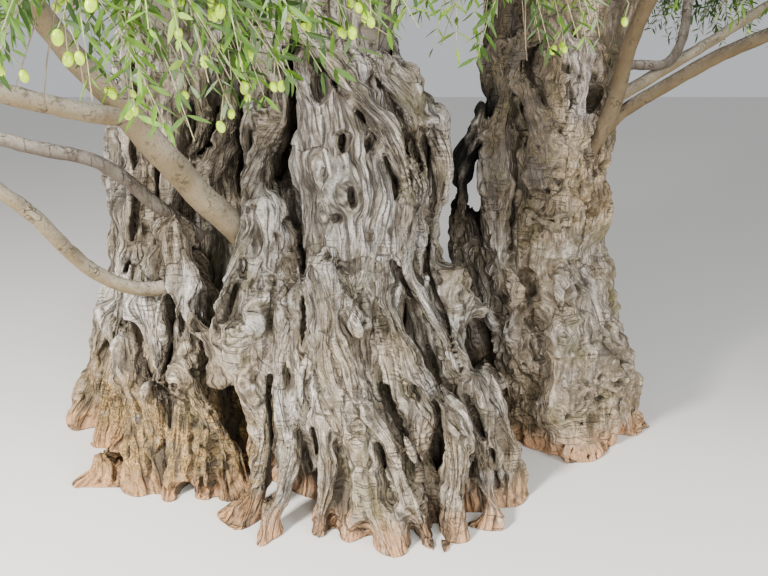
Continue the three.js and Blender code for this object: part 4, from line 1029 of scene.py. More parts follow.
def mesh_piece(name, corners, faces, finish, slot, nodes, attributes=None):
    """A smooth piece from arrays, riding on the tree and standing for its solids."""
    mesh = bpy.data.meshes.new(name)
    mesh.vertices.add(len(corners))
    mesh.vertices.foreach_set("co", np.ascontiguousarray(corners, np.float32).ravel())
    mesh.loops.add(faces.size)
    mesh.loops.foreach_set("vertex_index", np.ascontiguousarray(faces, np.int32).ravel())
    mesh.polygons.add(len(faces))
    mesh.polygons.foreach_set("loop_start", np.arange(0, faces.size, faces.shape[1], dtype=np.int32))
    mesh.update(calc_edges=True)
    mesh.validate()
    mesh.shade_smooth()
    for key, values in (attributes or {}).items():
        kind = "FLOAT" if values.ndim == 1 else "FLOAT_VECTOR"
        layer = mesh.attributes.new(key, kind, "POINT")
        layer.data.foreach_set("value" if values.ndim == 1 else "vector", values.astype(np.float32).ravel())
    mesh.materials.append(finish)
    piece = bpy.data.objects.new(name, mesh)
    bpy.context.scene.collection.objects.link(piece)
    settle(piece, nodes)
    return piece


def thin_hidden(piece, hidden):
    """Spares triangles on skin that lies inside the wood, where no light reaches."""
    group = piece.vertex_groups.new(name="hidden")
    group.add(np.flatnonzero(hidden).tolist(), 1.0, "REPLACE")
    modifier = piece.modifiers.new("thin", "DECIMATE")
    modifier.vertex_group = group.name
    modifier.ratio = 1 - (1 - HIDDEN_SHARE) * float(hidden.mean())
    graph = bpy.context.evaluated_depsgraph_get()
    thinned = bpy.data.meshes.new_from_object(piece.evaluated_get(graph))
    piece.modifiers.remove(modifier)
    piece.vertex_groups.remove(group)
    piece.data = thinned
    thinned.name = piece.name


def settle(piece, nodes):
    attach(piece, "root")
    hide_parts(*nodes)


def bark_piece(name, finish):
    node, cell, *_ = WOOD[name]
    axes, field, wood, seam = wood_field(name, cell)
    corners, faces = without_crumbs(*skin(axes, field))
    normals = normals_of(corners, faces)
    open_sky = openness(axes, wood, corners, normals)
    calm = np.clip(-read_field(axes, seam, corners) / SEAM_CALM, 0, 1)
    moved, shade, crest, grain = bark_relief(corners, normals, open_sky, calm, name)
    hidden = read_field(axes, wood, corners) < -2 * HIDDEN_DEPTH
    hidden |= (corners[:, 2] < cell / 2) & (read_field(axes, wood, corners) < -HIDDEN_DEPTH)
    attributes = {"shade": shade, "crest": crest, "grain": grain}
    piece = mesh_piece(name, moved, faces, finish, "old_bark", [node], attributes)
    thin_hidden(piece, hidden)


# Shader maths

class Wire:
    """An output of a shader node. Arithmetic on it adds Math nodes."""

    def __init__(self, shader, socket):
        self.shader = shader
        self.socket = socket

    def maths(self, operation, first, second):
        return self.shader.node("ShaderNodeMath", {"operation": operation}, {0: first, 1: second})

    def __add__(self, other):
        return self.maths("ADD", self, other)

    def __sub__(self, other):
        return self.maths("SUBTRACT", self, other)

    def __rsub__(self, other):
        return self.maths("SUBTRACT", other, self)

    def __mul__(self, other):
        return self.maths("MULTIPLY", self, other)

    __radd__ = __add__
    __rmul__ = __mul__

    def size(self):
        """Without its sign."""
        return self.maths("ABSOLUTE", self, 0.0)

    def held(self):
        """Kept between 0 and 1."""
        return self.shader.node("ShaderNodeClamp", {}, {"Value": self})

    def step(self, low, high):
        """0 below low, 1 above high, smooth between."""
        values = {"Value": self, "From Min": low, "From Max": high}
        return self.shader.node("ShaderNodeMapRange", {"interpolation_type": "SMOOTHSTEP"}, values)


class Finish:
    """A material under construction."""

    def __init__(self, name):
        self.material = bpy.data.materials.new(name)
        self.material.use_nodes = True
        self.tree = self.material.node_tree
        self.surface = self.tree.nodes["Principled BSDF"]

    def node(self, kind, settings, values, output=0):
        node = self.tree.nodes.new(kind)
        for key, value in settings.items():
            setattr(node, key, value)
        for key, value in values.items():
            self.connect(node.inputs[key], value)
        return Wire(self, node.outputs[output])

    def connect(self, socket, value):
        if isinstance(value, Wire):
            self.tree.links.new(value.socket, socket)
        else:
            socket.default_value = value

    def mix(self, first, second, share):
        """Two colours mixed by a share."""
        settings = {"data_type": "RGBA"}
        return self.node("ShaderNodeMix", settings, {0: share, 6: first, 7: second}, 2)

    def place(self):
        return self.node("ShaderNodeTexCoord", {}, {}, "Object")

    def along(self, place, axis):
        return self.node("ShaderNodeSeparateXYZ", {}, {0: place}, axis)

    def attribute(self, name, output):
        return self.node("ShaderNodeAttribute", {"attribute_name": name}, {}, output)

    def stretched(self, place, scale):
        return self.node("ShaderNodeMapping", {}, {"Vector": place, "Scale": scale})

    def noise(self, place, scale, detail=3.0, roughness=0.55, distortion=0.0):
        values = {"Vector": place, "Scale": scale, "Detail": detail, "Roughness": roughness}
        return self.node("ShaderNodeTexNoise", {}, {**values, "Distortion": distortion})

    def cracks(self, place, scale, width):
        """Thin wandering lines: 1 along the middle of each, 0 away from it."""
        away = self.noise(place, scale, 1.0, 0.5) - 0.5
        return 1 - away.size().step(0.0, width)

    def finish(self, **sockets):
        for key, value in sockets.items():
            self.connect(self.surface.inputs[key.replace("_", " ")], value)
        return self.material


def colour(red, green, blue):
    return (red, green, blue, 1.0)


# Tints of the old wood, with the tints of the shade and highlights painted on it
WOOD_TINTS = {
    "dark grey": (0.16, 0.146, 0.13), "light grey": (0.47, 0.445, 0.415), "bleach_and_highlight": (0.93, 0.9, 0.85),
    "dark brown": (0.115, 0.078, 0.04), "light brown": (0.42, 0.32, 0.205), "straw": (0.7, 0.57, 0.4),
    "dark ochre": (0.2, 0.105, 0.025), "light ochre": (0.58, 0.38, 0.16), "panel": (0.7, 0.665, 0.645),
    "grey lump": (0.6, 0.56, 0.52), "tan lump": (0.78, 0.64, 0.46), "dip": (0.06, 0.042, 0.026),
    "dark lobe": (0.22, 0.2, 0.2), "pale lobe": (0.66, 0.62, 0.62), "scorch": (0.04, 0.033, 0.03),
    "deep side shade": (0.05, 0.035, 0.022), "pale side shade": (0.16, 0.135, 0.11), "olive stain and cleft shade": (0.15, 0.112, 0.048),
    "fibre": (0.1, 0.08, 0.058), "speck": (0.09, 0.07, 0.05), "crumple": (0.11, 0.088, 0.063),
    "moss": (0.11, 0.105, 0.035), "rusty foot": (0.66, 0.36, 0.18), "crevice_shade": (0.075, 0.06, 0.043),
    "crack": (0.055, 0.044, 0.035), "char": (0.007, 0.007, 0.008), "gleam of char": (0.16, 0.16, 0.17),
}
# How much shorter each mark is taken along the grain, so that it runs long there
ALONG_GRAIN = {
    "crack": 0.1, "fine crack": 0.16, "streak": 0.16, "fibre": 0.07, "crumple": 0.45, "break": 0.5,
}


def old_bark():
    """Weathered wood: silvery ridges with painted highlights, dark cracks along the grain, painted shade in
    crevices and clefts and on the stem's sides, ochre low down, moss and char.
    """
    f = Finish("old bark")
    tint = {name: colour(*parts) for name, parts in WOOD_TINTS.items()}
    place = f.place()
    shade = f.attribute("shade", "Fac")
    crest = f.attribute("crest", "Fac")
    grain = f.attribute("grain", "Vector")
    sideways, backwards, height = (f.along(place, axis) for axis in range(3))
    drawn = {name: f.stretched(grain, (1.0, 1.0, share)) for name, share in ALONG_GRAIN.items()}
    broad = f.noise(place, 2.6, 4, 0.6)
    patch = f.noise(place, 6.5, 4, 0.65)
    blotch = f.noise(place, 17.0, 4, 0.65)
    crumple = f.noise(drawn["crumple"], 46.0, 4, 0.6)
    streak = f.noise(drawn["streak"], 95.0, 4, 0.65)
    fibre = f.noise(drawn["fibre"], 210.0, 3, 0.6)
    speckle = f.noise(place, 120.0, 4, 0.75)
    broken = f.noise(drawn["break"], 15.0, 2).step(0.42, 0.56)

    # Where things are
    stem = sideways.step(0.62, 0.72)
    low = 1 - height.step(0.12, 0.6)
    leftwards = 1 - sideways.step(-0.5, -0.2)
    in_front = 1 - backwards.step(-0.3, -0.05)
    panel = height.step(0.9, 1.1) * (1 - height.step(1.45, 1.6))
    panel *= sideways.step(-0.25, -0.12) * (1 - sideways.step(0.14, 0.22))
    buttress = low * leftwards * (0.3 + 0.9 * in_front)

    # Cracks
    long_cracks = f.cracks(drawn["crack"], 29.0, 0.065) * (broken + panel * 0.6).held() * (1 - stem * 0.6)
    panel_cracks = f.cracks(drawn["crack"], 47.0, 0.1) * (panel * 0.8 + 0.2) * (1 - stem * 0.7)
    fine_cracks = f.cracks(drawn["fine crack"], 62.0, 0.08) * blotch.step(0.4, 0.58)
    wrinkles = f.cracks(f.stretched(grain, (0.2, 0.2, 1.0)), 44.0, 0.07)
    wrinkles *= patch.step(0.48, 0.58) * (1 - panel)

    # Grey and brown wood, bleached in streaks and painted with highlights on its ridge crests, and ochre on
    # the buttress
    warmth = (broad.step(0.42, 0.62) * 0.7 + stem * 0.35 + low * leftwards * 0.7 - panel * 0.3).held()
    grey = f.mix(tint["dark grey"], tint["light grey"], patch.step(0.38, 0.58))
    brown = f.mix(tint["dark brown"], tint["light brown"], patch.step(0.36, 0.58))
    wood = f.mix(grey, brown, warmth * 0.8)
    # The pale share: bleached streaks, and painted highlights on the ridge crests
    pale = streak.step(0.49, 0.65) * 0.6 + crest.step(0.3, 0.85) * 0.55
    pale *= 0.3 + 0.7 * blotch.step(0.37, 0.57)
    bleach_and_highlight = f.mix(tint["bleach_and_highlight"], tint["straw"], warmth)
    wood = f.mix(wood, bleach_and_highlight, (pale * (1 - stem * 0.3)).held())
    wood = f.mix(wood, tint["panel"], panel * 0.4 * (0.3 + 0.7 * crumple.step(0.4, 0.56)))
    ochre = f.mix(tint["dark ochre"], tint["light ochre"], speckle.step(0.4, 0.6))
    ochre_share = stem * height.step(0.8, 1.0) * 0.7 + buttress + low * 0.35 + 0.1
    ochre_share *= blotch.step(0.34, 0.54) + buttress * 0.25
    wood = f.mix(wood, ochre, (ochre_share * 0.8).held())

    # The stem: pale lumps over dark dips, a pale lobe on top, and painted shade on its sides
    lumps = blotch.step(0.45, 0.62) * (0.4 + 0.6 * crumple.step(0.42, 0.56))
    wood = f.mix(wood, f.mix(tint["grey lump"], tint["tan lump"], patch.step(0.4, 0.6)), stem * lumps * 0.6)
    dips = (1 - blotch.step(0.36, 0.47)) * (0.45 + 0.55 * height.step(0.6, 1.1))
    wood = f.mix(wood, tint["dip"], (stem * dips * 0.75).held())
    lobe = sideways.step(0.82, 0.87) * (1 - sideways.step(0.97, 1.02))
    lobe *= stem * height.step(1.3, 1.45) * (1 - backwards.step(0.04, 0.14))
    wood = f.mix(wood, f.mix(tint["dark lobe"], tint["pale lobe"], streak.step(0.4, 0.6)), lobe * 0.65)
    # Painted shade on the stem's left side, in the gap by the trunk, and on its right side behind
    left_side_shade = sideways.step(0.5, 0.56) * (1 - sideways.step(0.74, 0.86)) * height.step(0.75, 1.05)
    right_side_shade = sideways.step(0.99, 1.04) * height.step(1.2, 1.35)
    sides = (left_side_shade + right_side_shade) * (0.55 + 0.4 * patch.step(0.38, 0.54))
    wood = f.mix(wood, f.mix(tint["deep side shade"], tint["pale side shade"], streak.step(0.46, 0.62)), sides.held())
    scorch = sideways.step(0.5, 0.58) * (1 - sideways.step(0.7, 0.8)) * height.step(1.02, 1.25)
    wood = f.mix(wood, tint["scorch"], (scorch * (0.35 + 0.5 * patch.step(0.4, 0.56))).held())

    # Painted shade in the clefts, stained olive there, grime, moss, and a rusty foot
    wood = f.mix(wood, tint["olive stain and cleft shade"], shade.step(0.12, 0.6) * (0.25 + 0.45 * patch.step(0.42, 0.56)))
    wood = f.mix(wood, tint["fibre"], (1 - fibre.step(0.3, 0.5)) * 0.45)
    wood = f.mix(wood, tint["speck"], (1 - speckle.step(0.36, 0.52)) * 0.5)
    wood = f.mix(wood, tint["crumple"], (1 - crumple.step(0.32, 0.48)) * 0.55)
    moss = f.noise(place, 3.7, 4, 0.6, 0.4).step(0.54, 0.68)
    wood = f.mix(wood, tint["moss"], moss * (0.28 + shade * 0.5 + stem * 0.15))
    foot = (1 - height.step(0.0, 0.14)) * blotch.step(0.26, 0.52)
    wood = f.mix(wood, tint["rusty foot"], foot * 0.82)

    # Painted shade in the crevices, dark cracks, and the charred cleft between trunk and stem
    crevice_shade = (shade + (0.5 - streak) * 0.5).step(0.36, 0.95)
    wood = f.mix(wood, tint["crevice_shade"], crevice_shade * 0.85)
    lines = (long_cracks * 0.85 + panel_cracks * 0.8 + fine_cracks * 0.5 + wrinkles * 0.5).held()
    wood = f.mix(wood, tint["crack"], lines * 0.84)
    cleft = sideways.step(0.38, 0.4) * (1 - sideways.step(0.6, 0.64)) * backwards.step(0.0, 0.05)
    char = (cleft * height.step(0.88, 1.0) * (1 - height.step(1.4, 1.56))).held()
    gleam = speckle.step(0.6, 0.7) * fibre.step(0.5, 0.6)
    wood = f.mix(wood, f.mix(tint["char"], tint["gleam of char"], gleam), char * 0.97)

    bumps = crumple * 1.1 + streak * 0.5 + fibre * 0.2 + speckle * 0.45 + blotch * 0.4
    cuts = long_cracks * 0.9 + panel_cracks * 0.7 + fine_cracks * 0.5 + wrinkles * 0.5
    bump = f.node("ShaderNodeBump", {}, {"Strength": 1.0, "Distance": 0.016, "Height": bumps - cuts})
    return f.finish(Base_Color=wood, Roughness=0.86 + speckle * 0.1, Specular_IOR_Level=0.25, Normal=bump)


def smooth_bark(name, pale, dark, shaded_underside, cracking):
    """Living bark of the younger boughs: painted paler and greyer on top as a highlight and darker and
    browner below as shade, spotted, with faint ridges.
    """
    f = Finish(name)
    place = f.place()
    facing_up = f.attribute("facing_up", "Fac")
    broad = f.noise(place, 7.0, 4, 0.6)
    spots = f.noise(place, 42.0, 4, 0.65)
    fine = f.noise(place, 130.0, 4, 0.7)
    scars = f.cracks(place, 34.0, 0.035) * f.noise(place, 11.0, 2).step(0.5, 0.62)
    splits = f.cracks(f.stretched(place, (1.0, 1.0, 0.16)), 26.0, 0.07) * cracking
    bark = f.mix(dark, pale, broad.step(0.34, 0.62))
    # Painted highlight on the upper side, and painted shade underneath
    top_highlight = f.mix(pale, colour(0.66, 0.63, 0.58), 0.4)
    bark = f.mix(bark, top_highlight, facing_up.step(0.1, 0.9) * fine.step(0.42, 0.6) * 0.6)
    bark = f.mix(bark, shaded_underside, (1 - facing_up.step(-0.7, 0.5)) * 0.75)
    bark = f.mix(bark, colour(0.07, 0.05, 0.03), (1 - spots.step(0.3, 0.46)) * 0.7)
    bark = f.mix(bark, colour(0.1, 0.08, 0.055), (1 - fine.step(0.34, 0.48)) * 0.6)
    bark = f.mix(bark, colour(0.04, 0.03, 0.02), (scars * 0.7 + splits * 0.8).held())
    bumps = spots + fine * 0.5 - scars - splits
    bump = f.node("ShaderNodeBump", {}, {"Strength": 0.9, "Distance": 0.005, "Height": bumps})
    return f.finish(Base_Color=bark, Roughness=0.75 + spots * 0.15, Specular_IOR_Level=0.3, Normal=bump)


def dappled_finish(name, tone, roughness, dapples=90.0, shaded=0.7, darkest=0.35, gloss=0.5):
    """One tint, a little darker in dapples."""
    f = Finish(name)
    dapple = f.noise(f.place(), dapples, 2).step(darkest, 0.6)
    tint = f.mix(colour(*(shaded * part for part in tone)), colour(*tone), dapple)
    return f.finish(Base_Color=tint, Roughness=roughness, Specular_IOR_Level=gloss)


# The trunk and the second stem

OLD_BARK = old_bark()
for piece in WOOD:
    bark_piece(piece, OLD_BARK)


# Limbs

COURSE_STEPS = 24


def smooth_course(points, count):
    """Evenly spaced points on a smooth curve through the path."""
    points = np.array(points, float)
    ends = np.vstack((2 * points[0] - points[1], points, 2 * points[-1] - points[-2]))
    fine = []
    for i in range(1, len(ends) - 2):
        p0, p1, p2, p3 = ends[i - 1:i + 3]
        d0, d1, d2 = (np.linalg.norm(b - a) ** 0.5 for a, b in ((p0, p1), (p1, p2), (p2, p3)))
        lean1 = ((p1 - p0) / d0 - (p2 - p0) / (d0 + d1) + (p2 - p1) / d1) * d1
        lean2 = ((p2 - p1) / d1 - (p3 - p1) / (d1 + d2) + (p3 - p2) / d2) * d1
        t = np.linspace(0, 1, COURSE_STEPS, endpoint=False)[:, None]
        curve = p1 * (2 * t**3 - 3 * t**2 + 1) + lean1 * (t**3 - 2 * t**2 + t)
        fine.append(curve + p2 * (3 * t**2 - 2 * t**3) + lean2 * (t**3 - t**2))
    fine = np.vstack((*fine, points[-1:]))
    lengths = np.concatenate(([0], np.cumsum(np.linalg.norm(np.diff(fine, axis=0), axis=1))))
    even = np.linspace(0, lengths[-1], count)
    return np.column_stack([np.interp(even, lengths, fine[:, axis]) for axis in range(3)]), lengths[-1]


class Growth:
    """A Geometry Nodes tree under construction, which grows a result from a source by named sizes."""

    def __init__(self, name, source, sizes, result):
        self.tree = bpy.data.node_groups.new(name, "GeometryNodeTree")
        new_socket = self.tree.interface.new_socket
        new_socket(source, in_out="INPUT", socket_type="NodeSocketGeometry")
        self.values = {}
        for size, value in sizes.items():
            kind = "NodeSocketInt" if isinstance(value, int) else "NodeSocketFloat"
            socket = new_socket(size, in_out="INPUT", socket_type=kind)
            self.values[socket.identifier] = value
        new_socket(result, in_out="OUTPUT", socket_type="NodeSocketGeometry")
        self.inputs = self.add("NodeGroupInput")
        self.result = result

    def add(self, kind, settings=(), values=()):
        """Adds a node with its settings and inputs, and gives its outputs."""
        node = self.tree.nodes.new(kind)
        for key, value in dict(settings).items():
            setattr(node, key, value)
        for key, value in dict(values).items():
            if isinstance(value, bpy.types.NodeSocket):
                self.tree.links.new(value, node.inputs[key])
            else:
                node.inputs[key].default_value = value
        return node.outputs

    def finish(self, geometry, finish):
        """Ends the tree with plain smooth geometry in its finish."""
        real = self.add("GeometryNodeRealizeInstances", values={"Geometry": geometry})[0]
        smooth = self.add("GeometryNodeSetShadeSmooth", values={"Geometry": real})[0]
        done = self.add("GeometryNodeSetMaterial", values={"Geometry": smooth, "Material": finish})[0]
        self.add("NodeGroupOutput", values={self.result: done})
        return self


def limb_growth(finish, sides, roughness, lumps_per_metre):
    """Sweeps a round section along a line that carries its own radius, and roughens it like bark."""
    sizes = {"Sides": sides, "Roughness of bark": roughness, "Lumps per metre": lumps_per_metre}
    g = Growth("limb", "Line", sizes, "Limb")
    radius = g.add("GeometryNodeInputNamedAttribute", {"data_type": "FLOAT"}, {"Name": "radius_m"})
    radius = radius["Attribute"]
    line = g.add("GeometryNodeMeshToCurve", values={"Mesh": g.inputs["Line"]})[0]
    line = g.add("GeometryNodeSetCurveRadius", values={"Curve": line, "Radius": radius})[0]
    ring = {"Resolution": g.inputs["Sides"], "Radius": 1.0}
    ring = g.add("GeometryNodeCurvePrimitiveCircle", values=ring)["Curve"]
    swept = {"Curve": line, "Profile Curve": ring, "Scale": radius, "Fill Caps": True}
    swept = g.add("GeometryNodeCurveToMesh", values=swept)[0]
    lumps = g.add("ShaderNodeTexNoise", values={"Scale": g.inputs["Lumps per metre"], "Detail": 4.0})
    centred = g.add("ShaderNodeMath", {"operation": "SUBTRACT"}, {0: lumps["Fac"], 1: 0.5})[0]
    height = {0: centred, 1: g.inputs["Roughness of bark"]}
    height = g.add("ShaderNodeMath", {"operation": "MULTIPLY"}, height)[0]
    outward = g.add("GeometryNodeInputNormal")[0]
    offset = g.add("ShaderNodeVectorMath", {"operation": "SCALE"}, {0: outward, "Scale": height})[0]
    moved = g.add("GeometryNodeSetPosition", values={"Geometry": swept, "Offset": offset})[0]
    # How far each face looks up, read by the bark for its painted highlight on top and painted shade below
    upward = g.add("ShaderNodeSeparateXYZ", values={0: outward})[2]
    named = {"Geometry": moved, "Name": "facing_up", "Value": upward}
    named = g.add("GeometryNodeStoreNamedAttribute", {"data_type": "FLOAT"}, named)[0]
    return g.finish(named, finish)


def grown_piece(name, mesh, growth):
    """Grows a piece from a mesh, and keeps the result as a plain mesh."""
    carrier = bpy.data.objects.new(name, mesh)
    bpy.context.scene.collection.objects.link(carrier)
    modifier = carrier.modifiers.new("grow", "NODES")
    modifier.node_group = growth.tree
    for identifier, value in growth.values.items():
        modifier[identifier] = value
    graph = bpy.context.evaluated_depsgraph_get()
    result = bpy.data.meshes.new_from_object(carrier.evaluated_get(graph))
    carrier.modifiers.remove(modifier)
    carrier.data = result
    return carrier


def limb_line(points, radii):
    mesh = bpy.data.meshes.new("line")
    mesh.vertices.add(len(points))
    mesh.vertices.foreach_set("co", points.astype(np.float32).ravel())
    mesh.edges.add(len(points) - 1)
    pairs = np.column_stack((np.arange(len(points) - 1), np.arange(1, len(points))))
    mesh.edges.foreach_set("vertices", pairs.astype(np.int32).ravel())
    layer = mesh.attributes.new("radius_m", "FLOAT", "POINT")
    layer.data.foreach_set("value", radii.astype(np.float32))
    return mesh


# Young bark: pale, dark and shaded underside tint, the last a painted shade, and how cracked it is
BOUGH_BARKS = {
    "tan bark": ((0.34, 0.295, 0.225), (0.19, 0.155, 0.105), (0.16, 0.11, 0.045), 0.0),
    "brown bark": ((0.14, 0.108, 0.07), (0.07, 0.05, 0.03), (0.1, 0.065, 0.022), 0.0),
    "grey bark": ((0.22, 0.195, 0.165), (0.11, 0.092, 0.075), (0.075, 0.055, 0.04), 0.5),
    "limb bark": ((0.3, 0.275, 0.24), (0.13, 0.11, 0.088), (0.09, 0.075, 0.055), 1.0),
}
BARKS = {name: smooth_bark(name, *(colour(*tint) for tint in tints), cracking)
         for name, (*tints, cracking) in BOUGH_BARKS.items()}
BOUGH_FINISHES = {"bough_left_grey": "grey bark", "bough_right_thin": "grey bark",
                  "bough_right_long": "brown bark", "bough_right_upright": "brown bark"}
LIMB_SPACING = 0.028
THICK_LIMB = 0.08
# Sides, roughness and lumps per metre of thick limbs, grey boughs and the others
THICK_SWEEP, GREY_SWEEP, BOUGH_SWEEP = (40, 0.05, 16.0), (22, 0.016, 22.0), (22, 0.013, 22.0)
ROOT_SWELL, ROOT_SWELL_LENGTH = 0.1, 0.09
LIMB_SWAY, LIMB_SWAY_SCALE = 0.25, 0.2


def limb_piece(name):
    _, path, (root_radius, tip_radius) = LIMBS[name]
    _, length = smooth_course(path, 4)
    points, _ = smooth_course(path, int(length / LIMB_SPACING))
    share = np.linspace(0, 1, len(points))
    radii = root_radius + (tip_radius - root_radius) * share
    radii *= 1 + ROOT_SWELL * np.exp(-share * length / ROOT_SWELL_LENGTH)
    sway = [noise_at(points / LIMB_SWAY_SCALE + SHIFT["limb"] * axis) for axis in range(3)]
    points = points + np.column_stack(sway) * (root_radius * LIMB_SWAY * np.sin(share * math.pi))[:, None]
    bark = "limb bark" if root_radius > THICK_LIMB else BOUGH_FINISHES.get(name, "tan bark")
    sweep = {"limb bark": THICK_SWEEP, "grey bark": GREY_SWEEP}.get(bark, BOUGH_SWEEP)
    piece = grown_piece(name + "_bark", limb_line(points, radii), limb_growth(BARKS[bark], *sweep))
    settle(piece, [name])


for limb in LIMBS:
    limb_piece(limb)


# The crown's masses and the space that each keeps to

class Mass:
    """A mass of foliage: the tip of the limb that bears it, its middle, its reach and its olives."""

    def __init__(self, name, limb, middle, reach, olives):
        self.name = name
        self.middle = np.array(middle)
        self.reach = np.array(reach)
        self.olives = olives
        self.tip = np.array(LIMBS[limb][1][-1])
        self.towards = (self.middle - self.tip) / np.linalg.norm(self.middle - self.tip)


RING_BEARERS = [name for name in LIMBS if name.startswith("limb_") or name.endswith(("_pale", "_thin"))]


def ring_masses():
    for tier, (count, out, height, turn) in CROWN_TIERS.items():
        for i in range(count):
            bearing = math.radians(turn + 360 * i / count)
            middle = np.array((out * math.cos(bearing), out * math.sin(bearing), height))
            limb = min(RING_BEARERS, key=lambda name: np.linalg.norm(np.array(LIMBS[name][1][-1]) - middle))
            reach = (MASS_REACH, MASS_REACH, MASS_REACH * MASS_FLATNESS)
            yield Mass(f"foliage_{tier}_{i + 1}", limb, middle, reach, RING_OLIVES)


MASSES = [Mass(name, *values) for name, values in LOW_MASSES.items()] + list(ring_masses())


def in_own_space(points, mass):
    offset = points - mass.middle
    kept = ((offset / mass.reach) ** 2).sum(1) <= 1
    for other in MASSES:
        if other is mass:
            continue
        apart = other.middle - mass.middle
        between = np.linalg.norm(apart)
        boundary = (between**2 + mass.reach[0] ** 2 - other.reach[0] ** 2) / (2 * between)
        kept &= offset @ (apart / between) < boundary - CELL_MARGIN
    return kept & np.all((points > cad_low - CAD_ALLOWANCE) & (points < cad_high + CAD_ALLOWANCE), axis=1)


def clear_of_limbs(points):
    kept = np.ones(len(points), bool)
    for _, path, radii in LIMBS.values():
        line, _ = smooth_course(path, LIMB_STEPS + 1)
        for i in range(LIMB_STEPS):
            start, along = line[i], line[i + 1] - line[i]
            share = np.clip((points - start) @ along / (along @ along), 0, 1)
            away = np.linalg.norm(points - start - share[:, None] * along, axis=1)
            radius = radii[0] + (radii[1] - radii[0]) * i / LIMB_STEPS
            kept &= away > radius + LEAF_CLEARANCE
    return kept


def even_directions(count):
    i = np.arange(count)
    height = 1 - 2 * (i + 0.5) / count
    across = np.sqrt(1 - height**2)
    turn = math.pi * (3 - math.sqrt(5)) * i
    return np.column_stack((across * np.cos(turn), across * np.sin(turn), height))


def unit(vectors):
    return vectors / np.maximum(np.linalg.norm(vectors, axis=-1, keepdims=True), 1e-9)


def bend(start, middle, end, shares):
    """Points on curves that leave start for middle and end at end, at each share."""
    t = shares[:, None]
    return start * (1 - t) ** 2 + middle * 2 * t * (1 - t) + end * t**2


UP = np.array((0.0, 0.0, 1.0))


def grow_twigs(mass, rng):
    """Twigs to all sides of the stem, which arch over, as start, bend and end."""
    outward = even_directions(FRINGE_TWIGS if "hanging" in mass.name else TWIGS_PER_MASS)
    outward = outward[outward @ mass.towards > FURTHEST_BACK]
    count = len(outward)
    along = rng.uniform(TWIG_START, STEM_OVERSHOOT / TWIG_BEARING, (count, 1))
    start = mass.middle + mass.towards * along * TWIG_BEARING
    end = mass.middle + outward * mass.reach * rng.uniform(*TWIG_REACH, (count, 1))
    arch = (start + end) / 2 + UP * TWIG_ARCH + rng.normal(0, TWIG_WAVER, (count, 3))
    return start, arch, end


def grow_shoots(twigs, droop, rng):
    """Shoots that leave each twig to alternate sides."""
    start, arch, end = twigs
    shares = np.tile(np.linspace(*SHOOT_FEET, SHOOTS_PER_TWIG), len(start))
    start, arch, end = (np.repeat(points, SHOOTS_PER_TWIG, axis=0) for points in (start, arch, end))
    root = bend(start, arch, end, shares)
    along = unit(bend(start, arch, end, shares + 0.02) - root)
    side = unit(np.cross(along, UP) + 1e-4)
    over = np.cross(side, along)
    hand = np.where(np.arange(len(root)) % 2, 1.0, -1.0)[:, None]
    roll = rng.uniform(-SHOOT_ROLL, SHOOT_ROLL, (len(root), 1))
    lateral = side * np.cos(roll) * hand + over * np.sin(roll)
    aim = unit(along * rng.uniform(*SHOOT_LEAN, (len(root), 1)) + lateral * SHOOT_SPREAD)
    length = SHOOT_LENGTH * rng.uniform(*SHOOT_SIZES, (len(root), 1)) * (1.1 - 0.4 * shares[:, None])
    tip = root + aim * length - UP * length * droop
    middle = root + aim * length * 0.5 + UP * length * SHOOT_ARCH
    return root, middle, tip


def leaves_on(shoots, mass, rng):
    """Opposite pairs of leaves up each shoot, as root, direction, side and length."""
    root, middle, tip = shoots
    pairs = int(SHOOT_LENGTH / LEAF_SPACING)
    shares = np.tile(np.linspace(*LEAF_FEET, pairs), len(root))
    root, middle, tip = (np.repeat(points, pairs, axis=0) for points in (root, middle, tip))
    foot = bend(root, middle, tip, shares)
    along = unit(bend(root, middle, tip, shares + 0.03) - foot)
    side = unit(np.cross(along, UP) + 1e-4)
    over = np.cross(side, along)
    turn = rng.uniform(0, math.pi, (len(foot), 1))
    axis = side * np.cos(turn) + over * np.sin(turn)
    feet, aims, flats, lengths, sprays = [], [], [], [], []
    for hand in (-1.0, 1.0):
        opening = rng.uniform(*LEAF_OPENING, (len(foot), 1))
        aim = unit(along + axis * hand * opening + rng.normal(0, LEAF_WAVER, (len(foot), 3)))
        upward = UP * LEAF_UPRIGHT + rng.normal(0, LEAF_ROLL, (len(foot), 3))
        flat = unit(np.cross(aim, np.cross(aim, upward)))
        feet.append(foot)
        aims.append(aim)
        flats.append(flat)
        lengths.append(LEAF_LENGTH * rng.uniform(*LEAF_SIZES, len(foot)) * (1.05 - 0.3 * shares))
        sprays.append(np.repeat(np.arange(len(root) // pairs), pairs))
    feet, aims, flats = (np.concatenate(arrays) for arrays in (feet, aims, flats))
    lengths, sprays = np.concatenate(lengths), np.concatenate(sprays)
    tips = feet + aims * lengths[:, None]
    kept = in_own_space(tips, mass) & in_own_space(feet, mass) & clear_of_limbs(tips)
    return feet[kept], aims[kept], flats[kept], lengths[kept], sprays[kept]


# A leaf: share of its length, share of its half width, and depth of its fold, at each corner. Leaves far
# from the eye are outlined with two corners less.
NEAR_LEAF = (
    np.array([(0, 0, 0), (0.36, 1, 0), (0.36, 0, 1), (0.36, -1, 0), (0.72, 0.78, 0.3), (0.72, -0.78, 0.3),
              (1, 0, 1.2)]),
    np.array([(0, 2, 1), (0, 3, 2), (1, 2, 4), (2, 3, 5), (2, 5, 4), (4, 5, 6)]),
)
FAR_LEAF = (
    np.array([(0, 0, 0), (0.5, 1, 0), (0.5, 0, 1.5), (0.5, -1, 0), (1, 0, 1.2)]),
    np.array([(0, 2, 1), (0, 3, 2), (1, 2, 4), (2, 3, 4)]),
)


